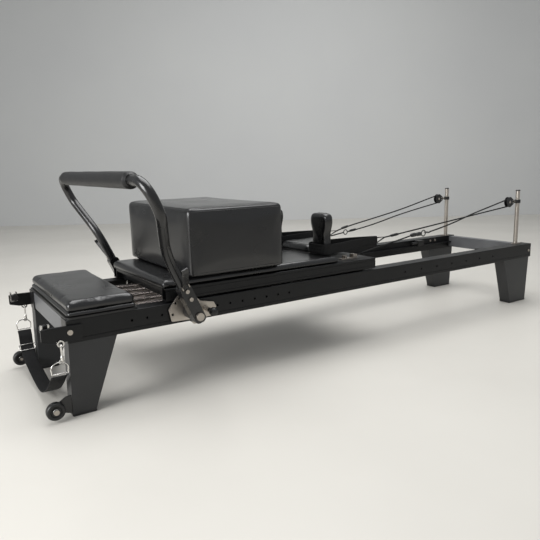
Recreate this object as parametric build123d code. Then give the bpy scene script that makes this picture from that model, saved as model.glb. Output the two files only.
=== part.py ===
from build123d import *
import math
import os

# A pilates reformer: a rail frame on four legs, a carriage that rolls along it against five springs,
# a foot bar on a sliding base, ropes over two pulleys and a sitting box on the carriage.
# X runs along the rails and is measured from their foot end, Y runs across and Z is up, in millimetres.
# The near side is -Y. The last step moves the origin to the middle of the length, on the floor.

# ---- driving dimensions -------------------------------------------------------------------------
LENGTH = 2352.0                 # rails with their end caps
HALF_WIDTH = 280.0              # outer face of a rail
RAIL_WIDTH = 60.0
RAIL_HEIGHT = 70.0
RAIL_BOTTOM = 230.0
RAIL_WALL = 4.0
HEAD_CAP = 6.0
FOOT_CAP = 3.0
RAIL_TOP = RAIL_BOTTOM + RAIL_HEIGHT
INNER_Y = HALF_WIDTH - RAIL_WIDTH
RUNNING_GAP = 0.3               # left free between bodies that move past each other

HOLE_PITCH = 50.0               # index holes for the foot bar base
HOLE_FIRST = 197.0
HOLE_COUNT = 13
HOLE_RADIUS = 4.0
HOLE_Z = 267.0
STOP_HOLE_FIRST = 1410.0        # index holes for the carriage stops
STOP_HOLE_PITCH = 103.0
STOP_HOLE_COUNT = 7

LEDGE_TOP = 268.0               # track for the running rollers
LEDGE_THICK = 6.0
LEDGE_DEPTH = 20.0

BEAM_WIDTH = 40.0
BEAM_BOTTOM = 236.0
BEAM_TOP = 296.0
BEAM_WALL = 3.0
FOOT_BEAM_X = 4.0
HEAD_BEAM_X = 2306.0

SHOE_HEIGHT = 8.0
LEG_WALL = 3.0
WHEEL_X, WHEEL_Z = -54.0, 37.0
WHEEL_RADIUS, WHEEL_WIDTH = 27.5, 24.0
WHEEL_INNER_Y = 278.0

PLATFORM_LENGTH = 220.0
PLATFORM_X = 2.0
PLATFORM_TOP = 350.0

SPRING_COUNT = 5
SPRING_PITCH = 80.0
SPRING_RADIUS = 14.0
SPRING_Z = 278.0
SPRING_START, SPRING_END = 256.0, 694.0
SPRING_BAR_X = 236.0

PIVOT_X, PIVOT_Z = 384.0, 267.0  # foot bar hinge
BAR_LEAN = 23.7                  # degrees, towards the foot end
BAR_TUBE_RADIUS = 16.0
BAR_REACH = 475.0                # pivot to grip
GRIP_RADIUS = 26.0
GRIP_HALF = 380.0
ARM_Y = 354.0
ARM_BULGE_Y = 480.0
PLATE_Y = 284.0                  # inner face of a sector plate
PLATE_THICK = 6.0
LOCK_RADIUS = 55.0               # lock holes about the foot bar hinge
LOCK_ANGLES = (103.0, 122.5, 142.0, 183.0)
LEVER_PIVOT = (381.0, 112.0)     # across, and up the foot bar
PLUNGER_X, PLUNGER_Z = 447.0, 267.0

CARRIAGE_X = 318.0
CARRIAGE_END = 1242.0
SIDE_BOTTOM, SIDE_TOP = 305.0, 347.0
SIDE_INNER_Y, SIDE_OUTER_Y = 236.0, 272.0
DECK_THICK = 12.0
PAD_TOP = 374.0
PAD_START, PAD_END = 309.0, 1060.0
PAD_HALF = 266.0
NOTCH_START, NOTCH_HALF = 1008.0, 117.0

HEADREST_X = 1012.0
HEADREST_END = 1235.0
HEADREST_HALF = 108.0
HEADREST_PIVOT = (1022.0, 368.0)
PROP_LENGTH = 60.0
REST_X, REST_Y = 1036.0, 175.0   # middle of a shoulder rest
REST_BASE_Z = PAD_TOP + RUNNING_GAP

BOX_X = (396.0, 775.0)
BOX_HALF = 296.0
BOX_WALL = 15.0
BOX_Z = (PAD_TOP + RUNNING_GAP, 607.0)

POST_X, POST_Y = 2287.0, 230.0
POST_RADIUS = 10.5
POST_TOP = 576.0
SHEAVE = (2210.0, 522.0)
SHEAVE_RADIUS = 23.0
ROPE_RADIUS = 3.25
STOP_X = 2030.0

WHEEL_LEFTMOST = WHEEL_X - WHEEL_RADIUS
CENTRE_X = (WHEEL_LEFTMOST + LENGTH) / 2


# ---- helpers ------------------------------------------------------------------------------------
def save(name, *solids):
    """Write one node, moved to the frame whose origin is under the middle of the length."""
    shape = solids[0] if len(solids) == 1 else Compound(children=[s for s in solids])
    export_step(Pos(-CENTRE_X, 0, 0) * shape, f"parts/{name}.step")


def block(x, y, z):
    """A box between two limits along each axis."""
    size = [high - low for low, high in (x, y, z)]
    middle = [(high + low) / 2 for low, high in (x, y, z)]
    return Pos(*middle) * Box(*size)


def rounded(solid, axis, radius):
    """The solid with its edges along one axis rounded."""
    return fillet(solid.edges().filter_by(axis), radius)


def rod(axis, start, end, across, radius):
    """A cylinder along X, Y or Z, from start to end, centred on the other two coordinates."""
    length = end - start
    middle = (start + end) / 2
    if axis == "X":
        return Pos(middle, *across) * Rot(0, 90, 0) * Cylinder(radius, length)
    if axis == "Y":
        return Pos(across[0], middle, across[1]) * Rot(90, 0, 0) * Cylinder(radius, length)
    return Pos(*across, middle) * Cylinder(radius, length)


def plate(points, inner_y, thickness, rounding=0.0):
    """A plate on the near side, from its outline in x and z."""
    face = make_face(Polyline(*points, close=True))
    if rounding:
        face = fillet(face.vertices(), rounding)
    return extrude(Plane.XZ.offset(inner_y) * face, thickness)


def other_side(solid):
    """The same piece on the far side."""
    return mirror(solid, about=Plane.XZ)


def both(solid):
    """The piece and its mirror image."""
    return [solid, other_side(solid)]


def cord(points, radius, radii=None):
    """A round cord along straight runs joined by arcs. Each arc is as large as its runs allow."""
    spots = [Vector(*p) for p in points]
    if radii is None:
        radii = []
        for before, at, after in zip(spots, spots[1:], spots[2:]):
            turn = math.radians((at - before).get_angle(after - at))
            run = min((at - before).length, (after - at).length)
            radii.append(0.45 * run / math.tan(turn / 2))
    path = FilletPolyline(*spots, radius=radii)
    section = Plane(origin=path @ 0, z_dir=path % 0) * Circle(radius)
    tube = sweep(section, path=path)
    expected = math.pi * radius**2 * path.length
    print("cord", round(path.length), "mm, radii", [round(r) for r in radii], "volume share",
          round(tube.volume / expected, 4))
    return tube


# ---- frame --------------------------------------------------------------------------------------
def side_rail():
    """Hollow rail on the near side, with its roller ledge, outer groove and index holes."""
    x = (FOOT_CAP, LENGTH - HEAD_CAP)
    rail = rounded(block(x, (-HALF_WIDTH, -INNER_Y), (RAIL_BOTTOM, RAIL_TOP)), Axis.X, 2)
    rail -= block(x, (-HALF_WIDTH + RAIL_WALL, -INNER_Y - RAIL_WALL),
                  (RAIL_BOTTOM + RAIL_WALL, RAIL_TOP - RAIL_WALL))
    rail -= block(x, (-HALF_WIDTH, -HALF_WIDTH + 2), (242, 245.5))
    rail += block((FOOT_BEAM_X + BEAM_WIDTH + 4, HEAD_BEAM_X - 4), (-INNER_Y, -INNER_Y + LEDGE_DEPTH),
                  (LEDGE_TOP - LEDGE_THICK, LEDGE_TOP))
    foot_holes = [HOLE_FIRST + HOLE_PITCH * n for n in range(HOLE_COUNT)]
    stop_holes = [STOP_HOLE_FIRST + STOP_HOLE_PITCH * n for n in range(STOP_HOLE_COUNT)]
    for x_hole in foot_holes + stop_holes:
        rail -= rod("Y", -HALF_WIDTH - 1, -HALF_WIDTH + RAIL_WALL + 1, (x_hole, HOLE_Z), HOLE_RADIUS)
    return rail


def rail_cap(x_face, x_inside):
    """Plastic end cap: a flange over the rail's end and a plug inside it."""
    low, high = sorted((x_face, x_inside))
    flange_x = (0, FOOT_CAP) if x_face < LENGTH / 2 else (LENGTH - HEAD_CAP, LENGTH)
    cap = rounded(block(flange_x, (-HALF_WIDTH, -INNER_Y), (RAIL_BOTTOM, RAIL_TOP)), Axis.X, 2)
    inset = RAIL_WALL + RUNNING_GAP
    return cap + block((low, high), (-HALF_WIDTH + inset, -INNER_Y - inset),
                       (RAIL_BOTTOM + inset, RAIL_TOP - inset))


def crossbeam(x):
    """Rectangular tube between the rails."""
    inner = (x + BEAM_WALL, x + BEAM_WIDTH - BEAM_WALL)
    beam = block((x, x + BEAM_WIDTH), (-INNER_Y, INNER_Y), (BEAM_BOTTOM, BEAM_TOP))
    return beam - block(inner, (-INNER_Y, INNER_Y), (BEAM_BOTTOM + BEAM_WALL, BEAM_TOP - BEAM_WALL))


def leg(bottom, top):
    """Tapered sheet-metal leg on the near side, open under the rail, from its x limits at both ends."""
    outline = [(bottom[0], SHOE_HEIGHT), (bottom[1], SHOE_HEIGHT), (top[1], RAIL_BOTTOM),
               (top[0], RAIL_BOTTOM)]
    inside = [(bottom[0] + LEG_WALL, SHOE_HEIGHT + LEG_WALL), (bottom[1] - LEG_WALL, SHOE_HEIGHT + LEG_WALL),
              (top[1] - LEG_WALL, RAIL_BOTTOM + 1), (top[0] + LEG_WALL, RAIL_BOTTOM + 1)]
    shell = plate(outline, INNER_Y, RAIL_WIDTH - 1)
    return shell - plate(inside, INNER_Y + LEG_WALL, RAIL_WIDTH - 1 - 2 * LEG_WALL)


def leg_shoe(bottom):
    """Chamfered plastic shoe under a leg."""
    shoe = block((bottom[0] - 1, bottom[1] + 1), (-HALF_WIDTH, -INNER_Y + 1), (0, SHOE_HEIGHT))
    return chamfer(shoe.faces().sort_by(Axis.Z)[0].edges(), 3)


FOOT_LEG = ((-4.0, 66.0), (2.0, 147.0))
HEAD_LEG = ((2192.0, 2322.0), (2127.0, 2337.0))


def make_frame():
    near_rail = side_rail()
    save("side_rail_near", near_rail)
    save("side_rail_far", other_side(near_rail))
    caps = both(rail_cap(0, FOOT_CAP + 12)) + both(rail_cap(LENGTH, LENGTH - HEAD_CAP - 12))
    post_cap = rod("Z", POST_TOP, POST_TOP + 5, (POST_X, -POST_Y), POST_RADIUS + 1)
    caps += both(fillet(post_cap.edges().sort_by(Axis.Z)[-1], 2))
    save("end_caps", *caps)
    save("crossbeams", crossbeam(FOOT_BEAM_X), crossbeam(HEAD_BEAM_X))
    save("legs", *both(leg(*FOOT_LEG)), *both(leg(*HEAD_LEG)))
    save("leg_shoes", *both(leg_shoe(FOOT_LEG[0])), *both(leg_shoe(HEAD_LEG[0])))
    bolts = [rod("Y", -HALF_WIDTH - 4, -HALF_WIDTH, (x, z), 6) for x, z in ((2330, 265),)]
    bolts += [rod("Y", -HALF_WIDTH - 12, -HALF_WIDTH - 8, (8, 266), 8)]
    bolts += [rod("Y", -INNER_Y, -INNER_Y + 4, (x, 284), 6) for x in (2140, 2180)]
    axle = rod("Y", -WHEEL_INNER_Y - WHEEL_WIDTH, -272, (WHEEL_X, WHEEL_Z), 5)
    axle += rod("Y", -306, -WHEEL_INNER_Y - WHEEL_WIDTH - RUNNING_GAP, (WHEEL_X, WHEEL_Z), 8)
    bolts.append(axle)
    save("frame_bolts", *[piece for bolt in bolts for piece in both(bolt)])


def make_transport_wheels():
    """Two wheels on short axles at the foot end, for rolling the reformer away when it is tipped."""
    arm = plate([(-3.5, 70), (-20, 68), (WHEEL_X - 10, WHEEL_Z + 4), (WHEEL_X - 8, WHEEL_Z - 9),
                 (WHEEL_X + 8, WHEEL_Z - 11), (-4.2, 12)], 272, 5)
    arm += block((-9, -4), (-277, -240), (12, 30))
    arm -= rod("Y", -280, -270, (WHEEL_X, WHEEL_Z), 5)
    save("wheel_brackets", *both(arm))
    tyre = rod("Y", -WHEEL_INNER_Y - WHEEL_WIDTH, -WHEEL_INNER_Y, (WHEEL_X, WHEEL_Z), WHEEL_RADIUS)
    tyre = fillet(tyre.edges(), 3)
    tyre -= rod("Y", -WHEEL_INNER_Y - WHEEL_WIDTH - 1, -270, (WHEEL_X, WHEEL_Z), 5.05)
    save("transport_wheel_near", tyre)
    save("transport_wheel_far", other_side(tyre))


# ---- foot end -----------------------------------------------------------------------------------
def make_platform():
    """Standing platform at the foot end: a plywood board with an upholstered pad."""
    x = (PLATFORM_X, PLATFORM_X + PLATFORM_LENGTH)
    board = block(x, (-HALF_WIDTH, HALF_WIDTH), (RAIL_TOP, RAIL_TOP + 6))
    save("platform_board", rounded(board, Axis.Z, 18))
    pad = rounded(block(x, (-HALF_WIDTH, HALF_WIDTH), (RAIL_TOP + 6, PLATFORM_TOP)), Axis.Z, 18)
    save("platform_pad", fillet(pad.faces().sort_by(Axis.Z)[-1].edges(), 8))


def make_jumpboard_brackets():
    """Plates on the rails' foot ends that hold a jump board, with receivers, knobs and eye bolts."""
    outline = [(45, 285), (-48, 287), (-72, 284), (-72, 250), (-40, 241), (30, 240), (45, 246)]
    save("jumpboard_brackets", *both(plate(outline, HALF_WIDTH, 8, 3)))
    receiver = block((-69, -45), (-280, -268), (262, 297))
    receiver -= block((-64, -50), (-280, -268), (266, 298))
    knob = rod("Y", -264, -246, (-57, 280), 11)
    for turn in range(5):
        angle = math.radians(72 * turn)
        knob += rod("Y", -262, -248, (-57 + 9 * math.cos(angle), 280 + 9 * math.sin(angle)), 4.5)
    knob += rod("Y", -268 + 0.2, -264, (-57, 280), 3)
    save("bracket_knob_near", knob)
    save("bracket_knob_far", other_side(knob))
    eye = rod("Y", -EYE_Y - 1.8, -EYE_Y + 1.8, (EYE_X, EYE_Z), 10.4)
    eye -= rod("Y", -EYE_Y - 2, -EYE_Y + 2, (EYE_X, EYE_Z), 6.4)
    eye += rod("Y", -EYE_Y, -HALF_WIDTH - 8, (EYE_X, EYE_Z + 8), 2.8)
    save("bracket_hardware", *both(receiver), *both(eye))


EYE_X, EYE_Y, EYE_Z = -21.5, 292.0, 238.0
STRAP_X, STRAP_WIDTH, STRAP_THICK = -31.0, 46.0, 2.6
BUCKLE_PLACE = (262.2, 83.0)        # across and up, on the strap's inner face
BUCKLE_TILT = 49.1


def make_foot_strap():
    """Webbing strap that hangs between the eye bolts from two snap hooks and D-rings."""
    outer = Plane.YZ.offset(EYE_X - 2) * Pos(-EYE_Y, 207.8) * RectangleRounded(18, 59, 8.9)
    inner = Plane.YZ.offset(EYE_X - 2) * Pos(-EYE_Y, 207.8) * RectangleRounded(9, 49, 4.4)
    hook = extrude(outer - inner, 4)
    ring = Plane.XZ.offset(EYE_Y - 2) * Pos(STRAP_X, 167.2) * RectangleRounded(STRAP_WIDTH + 10, 41, 14)
    hole = Plane.XZ.offset(EYE_Y - 2) * Pos(STRAP_X, 167.2) * RectangleRounded(STRAP_WIDTH + 2, 33, 10)
    d_ring = extrude(ring - hole, 4)
    route = [(296, 142), (282, 130), (276, 96), (250, 66), (206, 47), (103, 30), (0, 18), (-80, 22),
             (-160, 56), (-230, 100), (-270, 134), (-296, 142)]
    path = Plane.YZ.offset(STRAP_X) * FilletPolyline(*route, radius=[6, 10, 16, 28, 60, 120, 90, 90, 90, 30])
    section = Plane(origin=path @ 0, x_dir=(1, 0, 0), z_dir=path % 0) * Rectangle(STRAP_WIDTH, STRAP_THICK)
    save("foot_strap", sweep(section, path=path))
    buckle = extrude(Rectangle(STRAP_WIDTH + 8, 25) - Rectangle(STRAP_WIDTH - 2, 17), 3)
    buckle = Pos(STRAP_X, *BUCKLE_PLACE) * Rot(BUCKLE_TILT, 0, 0) * buckle
    save("strap_hardware", *both(hook), *both(d_ring), buckle)


def make_springs():
    """Spring bar on the rail ledges, five springs under the carriage and the hooks that hold them."""
    bar = block((SPRING_BAR_X, SPRING_BAR_X + 8), (-INNER_Y, INNER_Y), (LEDGE_TOP, 296))
    rows = [SPRING_PITCH * (n - (SPRING_COUNT - 1) / 2) for n in range(SPRING_COUNT)]
    hooks = [rod("X", SPRING_BAR_X + 8, SPRING_START, (y, SPRING_Z), 5) for y in rows]
    save("spring_bar", bar, *hooks)
    springs = []
    for y in rows:
        spring = rod("X", SPRING_START, SPRING_END, (y, SPRING_Z), SPRING_RADIUS)
        springs.append(spring - rod("X", SPRING_START - 1, SPRING_END + 1, (y, SPRING_Z), SPRING_RADIUS - 4))
    save("springs", *springs)


# ---- foot bar -----------------------------------------------------------------------------------
def bar_point(y, reach):
    """A point of the leaning foot bar, from its place across and its distance from the hinge."""
    lean = math.radians(BAR_LEAN)
    return (PIVOT_X - reach * math.sin(lean), y, PIVOT_Z + reach * math.cos(lean))


def bar_plane(y=0.0):
    """Plane through the hinge, seen along +Y, with its local Y running up the foot bar."""
    lean = math.radians(BAR_LEAN)
    return Plane(origin=(PIVOT_X, y, PIVOT_Z), x_dir=(math.cos(lean), 0, math.sin(lean)), z_dir=(0, -1, 0))


def lock_point(angle):
    """Place of a lock hole about the foot bar hinge, in x and z, at an angle in degrees from +X."""
    turn = math.radians(angle)
    return (PIVOT_X + LOCK_RADIUS * math.cos(turn), PIVOT_Z + LOCK_RADIUS * math.sin(turn))


def make_foot_bar_base():
    """Sector plates that slide along the rails, tied together under them and indexed by plungers."""
    outline = [(316, 282), (324, 241), (396, 238), (400, 220), (440, 220), (444, 237), (474, 238),
               (487, 268), (478, 285), (430, 295), (410, 314), (361, 331), (342, 315)]
    sector = plate(outline, PLATE_Y, PLATE_THICK, 5)
    for angle in LOCK_ANGLES:
        sector -= rod("Y", -PLATE_Y - 10, -PLATE_Y + 1, lock_point(angle), 4.5)
    sector -= rod("Y", -PLATE_Y - 10, -PLATE_Y + 1, (PIVOT_X, PIVOT_Z), 8)
    sector -= rod("Y", -PLATE_Y - 10, -PLATE_Y + 1, (PLUNGER_X, PLUNGER_Z), 8)
    save("sector_plates", *both(sector))
    tie = block((402, 438), (-PLATE_Y, PLATE_Y), (RAIL_BOTTOM - 8, RAIL_BOTTOM - 1))
    save("foot_bar_tie", rounded(tie, Axis.Y, 2))
    shoes = []
    for x in (335, 430):
        shoe = block((x, x + 40), (-PLATE_Y, -HALF_WIDTH - RUNNING_GAP), (239.5, 252))
        shoe += block((x, x + 40), (-HALF_WIDTH - RUNNING_GAP, -HALF_WIDTH + 1.5), (242.4, 245.1))
        shoes += both(shoe)
    save("guide_shoes", *shoes)
    outer = PLATE_Y + PLATE_THICK
    pivot = rod("Y", -380, -PLATE_Y, (PIVOT_X, PIVOT_Z), 8)
    pivot += rod("Y", -384, -375.5, (PIVOT_X, PIVOT_Z), 13)
    barrel = rod("Y", -318, -PLATE_Y, (PLUNGER_X, PLUNGER_Z), 8) + rod(
        "Y", -outer - 8, -outer, (PLUNGER_X, PLUNGER_Z), 11)
    barrel -= rod("Y", -320, -PLATE_Y + 1, (PLUNGER_X, PLUNGER_Z), 3.85)
    save("base_hardware", *both(pivot), *both(barrel))
    pin = rod("Y", -338, -HALF_WIDTH - RUNNING_GAP, (PLUNGER_X, PLUNGER_Z), 3.8)
    pin += rod("Y", -326, -318.3, (PLUNGER_X, PLUNGER_Z), 8)
    ball = Pos(PLUNGER_X, -348, PLUNGER_Z) * Sphere(15)
    ball -= rod("Y", -338, -330, (PLUNGER_X, PLUNGER_Z), 3.8)
    save("plunger_near", pin, ball)
    save("plunger_far", other_side(pin), other_side(ball))


def make_foot_bar():
    """Foot bar: two bent arms, a cross tube with a foam grip, arm blocks, hubs and release levers."""
    corners = [(ARM_Y, 24), (ARM_Y, 228), (ARM_BULGE_Y, 372), (ARM_BULGE_Y, BAR_REACH), (392, BAR_REACH)]
    path = FilletPolyline(*[bar_point(-y, s) for y, s in corners], radius=[150, 70, 60])
    section = Plane(origin=path @ 0, z_dir=path % 0) * Circle(BAR_TUBE_RADIUS)
    bore = Plane(origin=path @ 0, z_dir=path % 0) * Circle(BAR_TUBE_RADIUS - 2.5)
    arm = sweep(section, path=path) - sweep(bore, path=path)
    save("foot_bar_arms", *both(arm))
    grip_x, _, grip_z = bar_point(0, BAR_REACH)
    tube = rod("Y", -392, 392, (grip_x, grip_z), BAR_TUBE_RADIUS)
    tube -= rod("Y", -393, 393, (grip_x, grip_z), BAR_TUBE_RADIUS - 2.5)
    save("foot_bar_cross_tube", tube)
    grip = rod("Y", -GRIP_HALF, GRIP_HALF, (grip_x, grip_z), GRIP_RADIUS)
    grip = fillet(grip.edges(), 5) - rod("Y", -GRIP_HALF - 1, GRIP_HALF + 1, (grip_x, grip_z), BAR_TUBE_RADIUS)
    save("foot_bar_grip", grip)
    shape = bar_plane(-336) * (Pos(0, 46) * RectangleRounded(39, 136, 14))
    body = extrude(shape, 39)
    x_low, y_low, z_low = bar_point(-ARM_Y, 24)
    x_top, y_top, z_top = bar_point(-ARM_Y, 130)
    socket = Plane(origin=(x_low, y_low, z_low), z_dir=(x_top - x_low, 0, z_top - z_low)) * Circle(BAR_TUBE_RADIUS)
    body -= extrude(socket, 120)
    body -= rod("Y", -376, -335, (PIVOT_X, PIVOT_Z), 8.06)
    save("arm_blocks", *both(body))
    hub = rod("Y", -336, -PLATE_Y - PLATE_THICK - RUNNING_GAP, (PIVOT_X, PIVOT_Z), 20)
    hub -= rod("Y", -337, -PLATE_Y, (PIVOT_X, PIVOT_Z), 8.06)
    save("pivot_hubs", *both(hub))
    pin = rod("Y", -329, -PLATE_Y - PLATE_THICK - 0.4, lock_point(LOCK_ANGLES[0]), 4.2)
    pin += rod("Y", -329, -322, lock_point(LOCK_ANGLES[0]), 8)
    save("lock_pin_near", pin)
    save("lock_pin_far", other_side(pin))


def make_release_levers():
    """Levers that rock on pins beside the arm blocks, and the lugs that hold the pins."""
    across, reach = LEVER_PIVOT
    plane = Plane(origin=bar_point(0, 0), x_dir=(0, -1, 0), z_dir=bar_normal())
    barrel = Pos(across, reach) * Circle(4.5)
    strip = make_face(Polyline((380, 116), (384, 113), (447, 174), (453, 188), (449, 189.5), (443.5, 177),
                               close=True))
    lever = extrude(plane * (barrel + strip), 10, both=True)
    lever -= extrude(plane * (Pos(across, reach) * Circle(2.56)), 20, both=True)
    save("release_lever_near", lever)
    save("release_lever_far", other_side(lever))
    cheek = make_face(Polyline((375, 102), (386, 107), (386, 117), (375, 117), close=True))
    lugs = extrude(plane * cheek, 13, both=True) - extrude(plane * cheek, 10.3, both=True)
    pin = extrude(plane * (Pos(across, reach) * Circle(2.5)), 13, both=True)
    lugs -= pin
    fasteners = both(lugs) + both(pin)
    for bolt_reach in (66, 95):
        x, _, z = bar_point(0, bolt_reach)
        fasteners += both(rod("Y", -381, -375, (x, z), 6.5))
    save("arm_fasteners", *fasteners)


def bar_normal():
    """Direction square to the foot bar's plane, towards the foot end and down."""
    lean = math.radians(BAR_LEAN)
    return (-math.cos(lean), 0, -math.sin(lean))


# ---- carriage -----------------------------------------------------------------------------------
ROLLER_RADIUS = 15.0
ROLLER_Z = LEDGE_TOP + RUNNING_GAP + ROLLER_RADIUS
AXLE_X = (362.0, 1198.0)
GUIDE_OFFSET = 45.0


def make_carriage():
    """Rolling carriage: side extrusions, cross members, deck and pad."""
    x = (CARRIAGE_X, CARRIAGE_END)
    side = rounded(block(x, (-SIDE_OUTER_Y, -SIDE_INNER_Y), (SIDE_BOTTOM, SIDE_TOP)), Axis.X, 2)
    side -= block(x, (-SIDE_OUTER_Y + 3, -SIDE_INNER_Y - 3), (SIDE_BOTTOM + 3, SIDE_TOP - 3))
    for z in (314, 336):
        side -= block(x, (-SIDE_OUTER_Y, -SIDE_OUTER_Y + 1.5), (z, z + 4))
    save("carriage_sides", *both(side))
    members = []
    for start, end in ((340, 384), (690, 724), (1176, 1220)):
        member = block((start, end), (-SIDE_INNER_Y, SIDE_INNER_Y), (SIDE_BOTTOM, SIDE_TOP - DECK_THICK))
        inside = block((start + 3, end - 3), (-SIDE_INNER_Y, SIDE_INNER_Y),
                       (SIDE_BOTTOM + 3, SIDE_TOP - DECK_THICK - 3))
        members.append(member - inside)
    members.append(block((SPRING_END + 12, SPRING_END + 18), (-190, 190), (266, SIDE_BOTTOM)))
    rows = [SPRING_PITCH * (n - (SPRING_COUNT - 1) / 2) for n in range(SPRING_COUNT)]
    members += [rod("X", SPRING_END, SPRING_END + 12, (y, SPRING_Z), 5) for y in rows]
    save("carriage_cross_members", *members)
    deck = block(x, (-SIDE_INNER_Y, SIDE_INNER_Y), (SIDE_TOP - DECK_THICK, SIDE_TOP))
    for y in (-REST_Y, REST_Y):
        deck -= rod("Z", 330, 350, (REST_X, y), SOCKET_RADIUS)
    save("carriage_deck", deck)
    pad = rounded(block((PAD_START, PAD_END), (-PAD_HALF, PAD_HALF), (SIDE_TOP, PAD_TOP)), Axis.Z, 14)
    pad -= block((NOTCH_START, PAD_END + 1), (-NOTCH_HALF, NOTCH_HALF), (SIDE_TOP, PAD_TOP))
    for y in (-REST_Y, REST_Y):
        pad -= rod("Z", SIDE_TOP - 1, PAD_TOP + 1, (REST_X, y), SOCKET_RADIUS)
    save("carriage_pad", pad)


def make_running_gear():
    """Rollers on the ledges and the angle brackets that hold them, each with a guide pad at the rail."""
    brackets = []
    axles = []
    for x, away in zip(AXLE_X, (GUIDE_OFFSET, -GUIDE_OFFSET)):
        low, high = sorted((x - math.copysign(22, away), x + away + math.copysign(20, away)))
        flange = block((low, high), (-216, -190), (SIDE_BOTTOM - 5, SIDE_BOTTOM))
        web = block((x - 16, x + 16), (-196, -190), (LEDGE_TOP + 4, SIDE_BOTTOM - 5))
        brackets += both(flange + web - rod("Y", -197, -189, (x, ROLLER_Z), 5))
        guide = block((x + away - 18, x + away + 18), (-INNER_Y + RUNNING_GAP, -202), (276, SIDE_BOTTOM - 5))
        brackets += both(rounded(guide, Axis.Z, 3))
        axles += both(rod("Y", -218, -186, (x, ROLLER_Z), 5))
    save("roller_brackets", *brackets)
    for name, x in zip(("front", "rear"), AXLE_X):
        roller = rod("Y", -216, -200, (x, ROLLER_Z), ROLLER_RADIUS)
        roller = chamfer(roller.edges(), 1) - rod("Y", -217, -199, (x, ROLLER_Z), 5.05)
        save(f"{name}_running_rollers", *both(roller))
    return axles


def make_headrest():
    """Tilting headrest on two side cheeks, with a folding prop bail under its board."""
    pivot_x, pivot_z = HEADREST_PIVOT
    cheek = block((pivot_x - 10, pivot_x + 14), (-115, -110), (SIDE_TOP, 374))
    cheek += rod("Y", -110, -96, HEADREST_PIVOT, 3)
    board = block((HEADREST_X, HEADREST_END - 3), (-HEADREST_HALF + 2, HEADREST_HALF - 2), (361, 374.5))
    board -= rod("Y", -110, -95.5, HEADREST_PIVOT, 3.06)
    board -= rod("Y", 95.5, 110, HEADREST_PIVOT, 3.06)
    pad = rounded(block((HEADREST_X, HEADREST_END), (-HEADREST_HALF, HEADREST_HALF), (374.5, 401)), Axis.Z, 12)
    save("headrest_pad", fillet(pad.faces().sort_by(Axis.Z)[-1].edges(), 8))
    hinge_x, hinge_z = pivot_x + 160, pivot_z - 11
    lug = block((hinge_x - 5, hinge_x + 5), (-60, -54), (hinge_z - 4, 361))
    lug -= rod("Y", -61, -53, (hinge_x, hinge_z), 2.56)
    save("headrest_board", board, *both(lug))
    bail = rod("Y", -60, 60, (hinge_x, hinge_z), 2.5)
    bail += rod("X", hinge_x - PROP_LENGTH, hinge_x, (-48, hinge_z), 2.5)
    bail += rod("X", hinge_x - PROP_LENGTH, hinge_x, (48, hinge_z), 2.5)
    bail += rod("Y", -48, 48, (hinge_x - PROP_LENGTH, hinge_z), 2.5)
    save("headrest_prop", bail)
    return both(cheek)


SOCKET_RADIUS, PEG_RADIUS = 11.0, 8.0


def make_shoulder_rests():
    """Padded shoulder rests on pegs that lift out of sockets in the deck."""
    socket = rod("Z", SIDE_TOP - DECK_THICK, PAD_TOP, (REST_X, -REST_Y), SOCKET_RADIUS)
    socket -= rod("Z", SIDE_TOP - DECK_THICK - 1, PAD_TOP + 1, (REST_X, -REST_Y), PEG_RADIUS + 0.06)
    stem = rounded(block((REST_X - 18, REST_X + 18), (-REST_Y - 54, -REST_Y + 54), (REST_BASE_Z, 488)), Axis.Z, 10)
    head = block((REST_X - 20, REST_X + 20), (-REST_Y - 57.5, -REST_Y + 57.5), (488, 547))
    pad = stem + fillet(head.edges(), 14)
    peg = rod("Z", SIDE_TOP - DECK_THICK + 2, REST_BASE_Z, (REST_X, -REST_Y), PEG_RADIUS)
    save("shoulder_rest_near", pad, peg)
    save("shoulder_rest_far", other_side(pad), other_side(peg))
    return both(socket)


def make_sitting_box():
    """Upholstered sitting box that stands on the carriage pad, hollow inside its plywood walls."""
    body = rounded(block(BOX_X, (-BOX_HALF, BOX_HALF), BOX_Z), Axis.Z, 14)
    body = fillet(body.faces().sort_by(Axis.Z)[-1].edges(), 8)
    inside = [(low + BOX_WALL, high - BOX_WALL) for low, high in (BOX_X, (-BOX_HALF, BOX_HALF), BOX_Z)]
    save("sitting_box", body - block(*inside))


STRAP_END_X = 1346.0


def make_hand_straps():
    """Webbing loops round the shoulder rests, each with a wire triangle at its rope end."""
    outline = [(1003, -236), (1070, -236), (STRAP_END_X, -172), (STRAP_END_X, -162), (1070, -114), (1003, -114)]
    outer = fillet(make_face(Polyline(*outline, close=True)).vertices(), 4)
    inner = offset(outer, -3.2)
    loop = extrude(Plane.XY.offset(378) * (outer - inner), 42)
    save("hand_straps", *both(loop))
    apex = 1396
    outline = [(STRAP_END_X + 0.5, 386), (STRAP_END_X + 0.5, 414), (apex, 411.5), (apex, 406.5)]
    inside = [(STRAP_END_X + 4.5, 391), (STRAP_END_X + 4.5, 409), (apex - 8, 409.5), (apex - 8, 408.5)]
    triangle = plate(outline, 165, 4) - plate(inside, 164, 6)
    save("strap_triangles", *both(triangle))


def rope_cleats():
    """Cam cleats on the deck that hold the ropes' free ends."""
    cleat = block((1100, 1180), (-228, -202), (SIDE_TOP, SIDE_TOP + 4))
    cleat += rod("Z", SIDE_TOP + 4, SIDE_TOP + 16, (1122, -222), 6)
    cleat += rod("Z", SIDE_TOP + 4, SIDE_TOP + 16, (1122, -208), 6)
    cleat += block((1160, 1180), (-228, -202), (SIDE_TOP + 4, SIDE_TOP + 18))
    return both(cleat)


def make_carriage_parts():
    """Everything that rolls with the carriage, apart from the box and the straps."""
    make_carriage()
    fittings = make_running_gear() + make_headrest() + make_shoulder_rests() + rope_cleats()
    save("carriage_fittings", *fittings)


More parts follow.
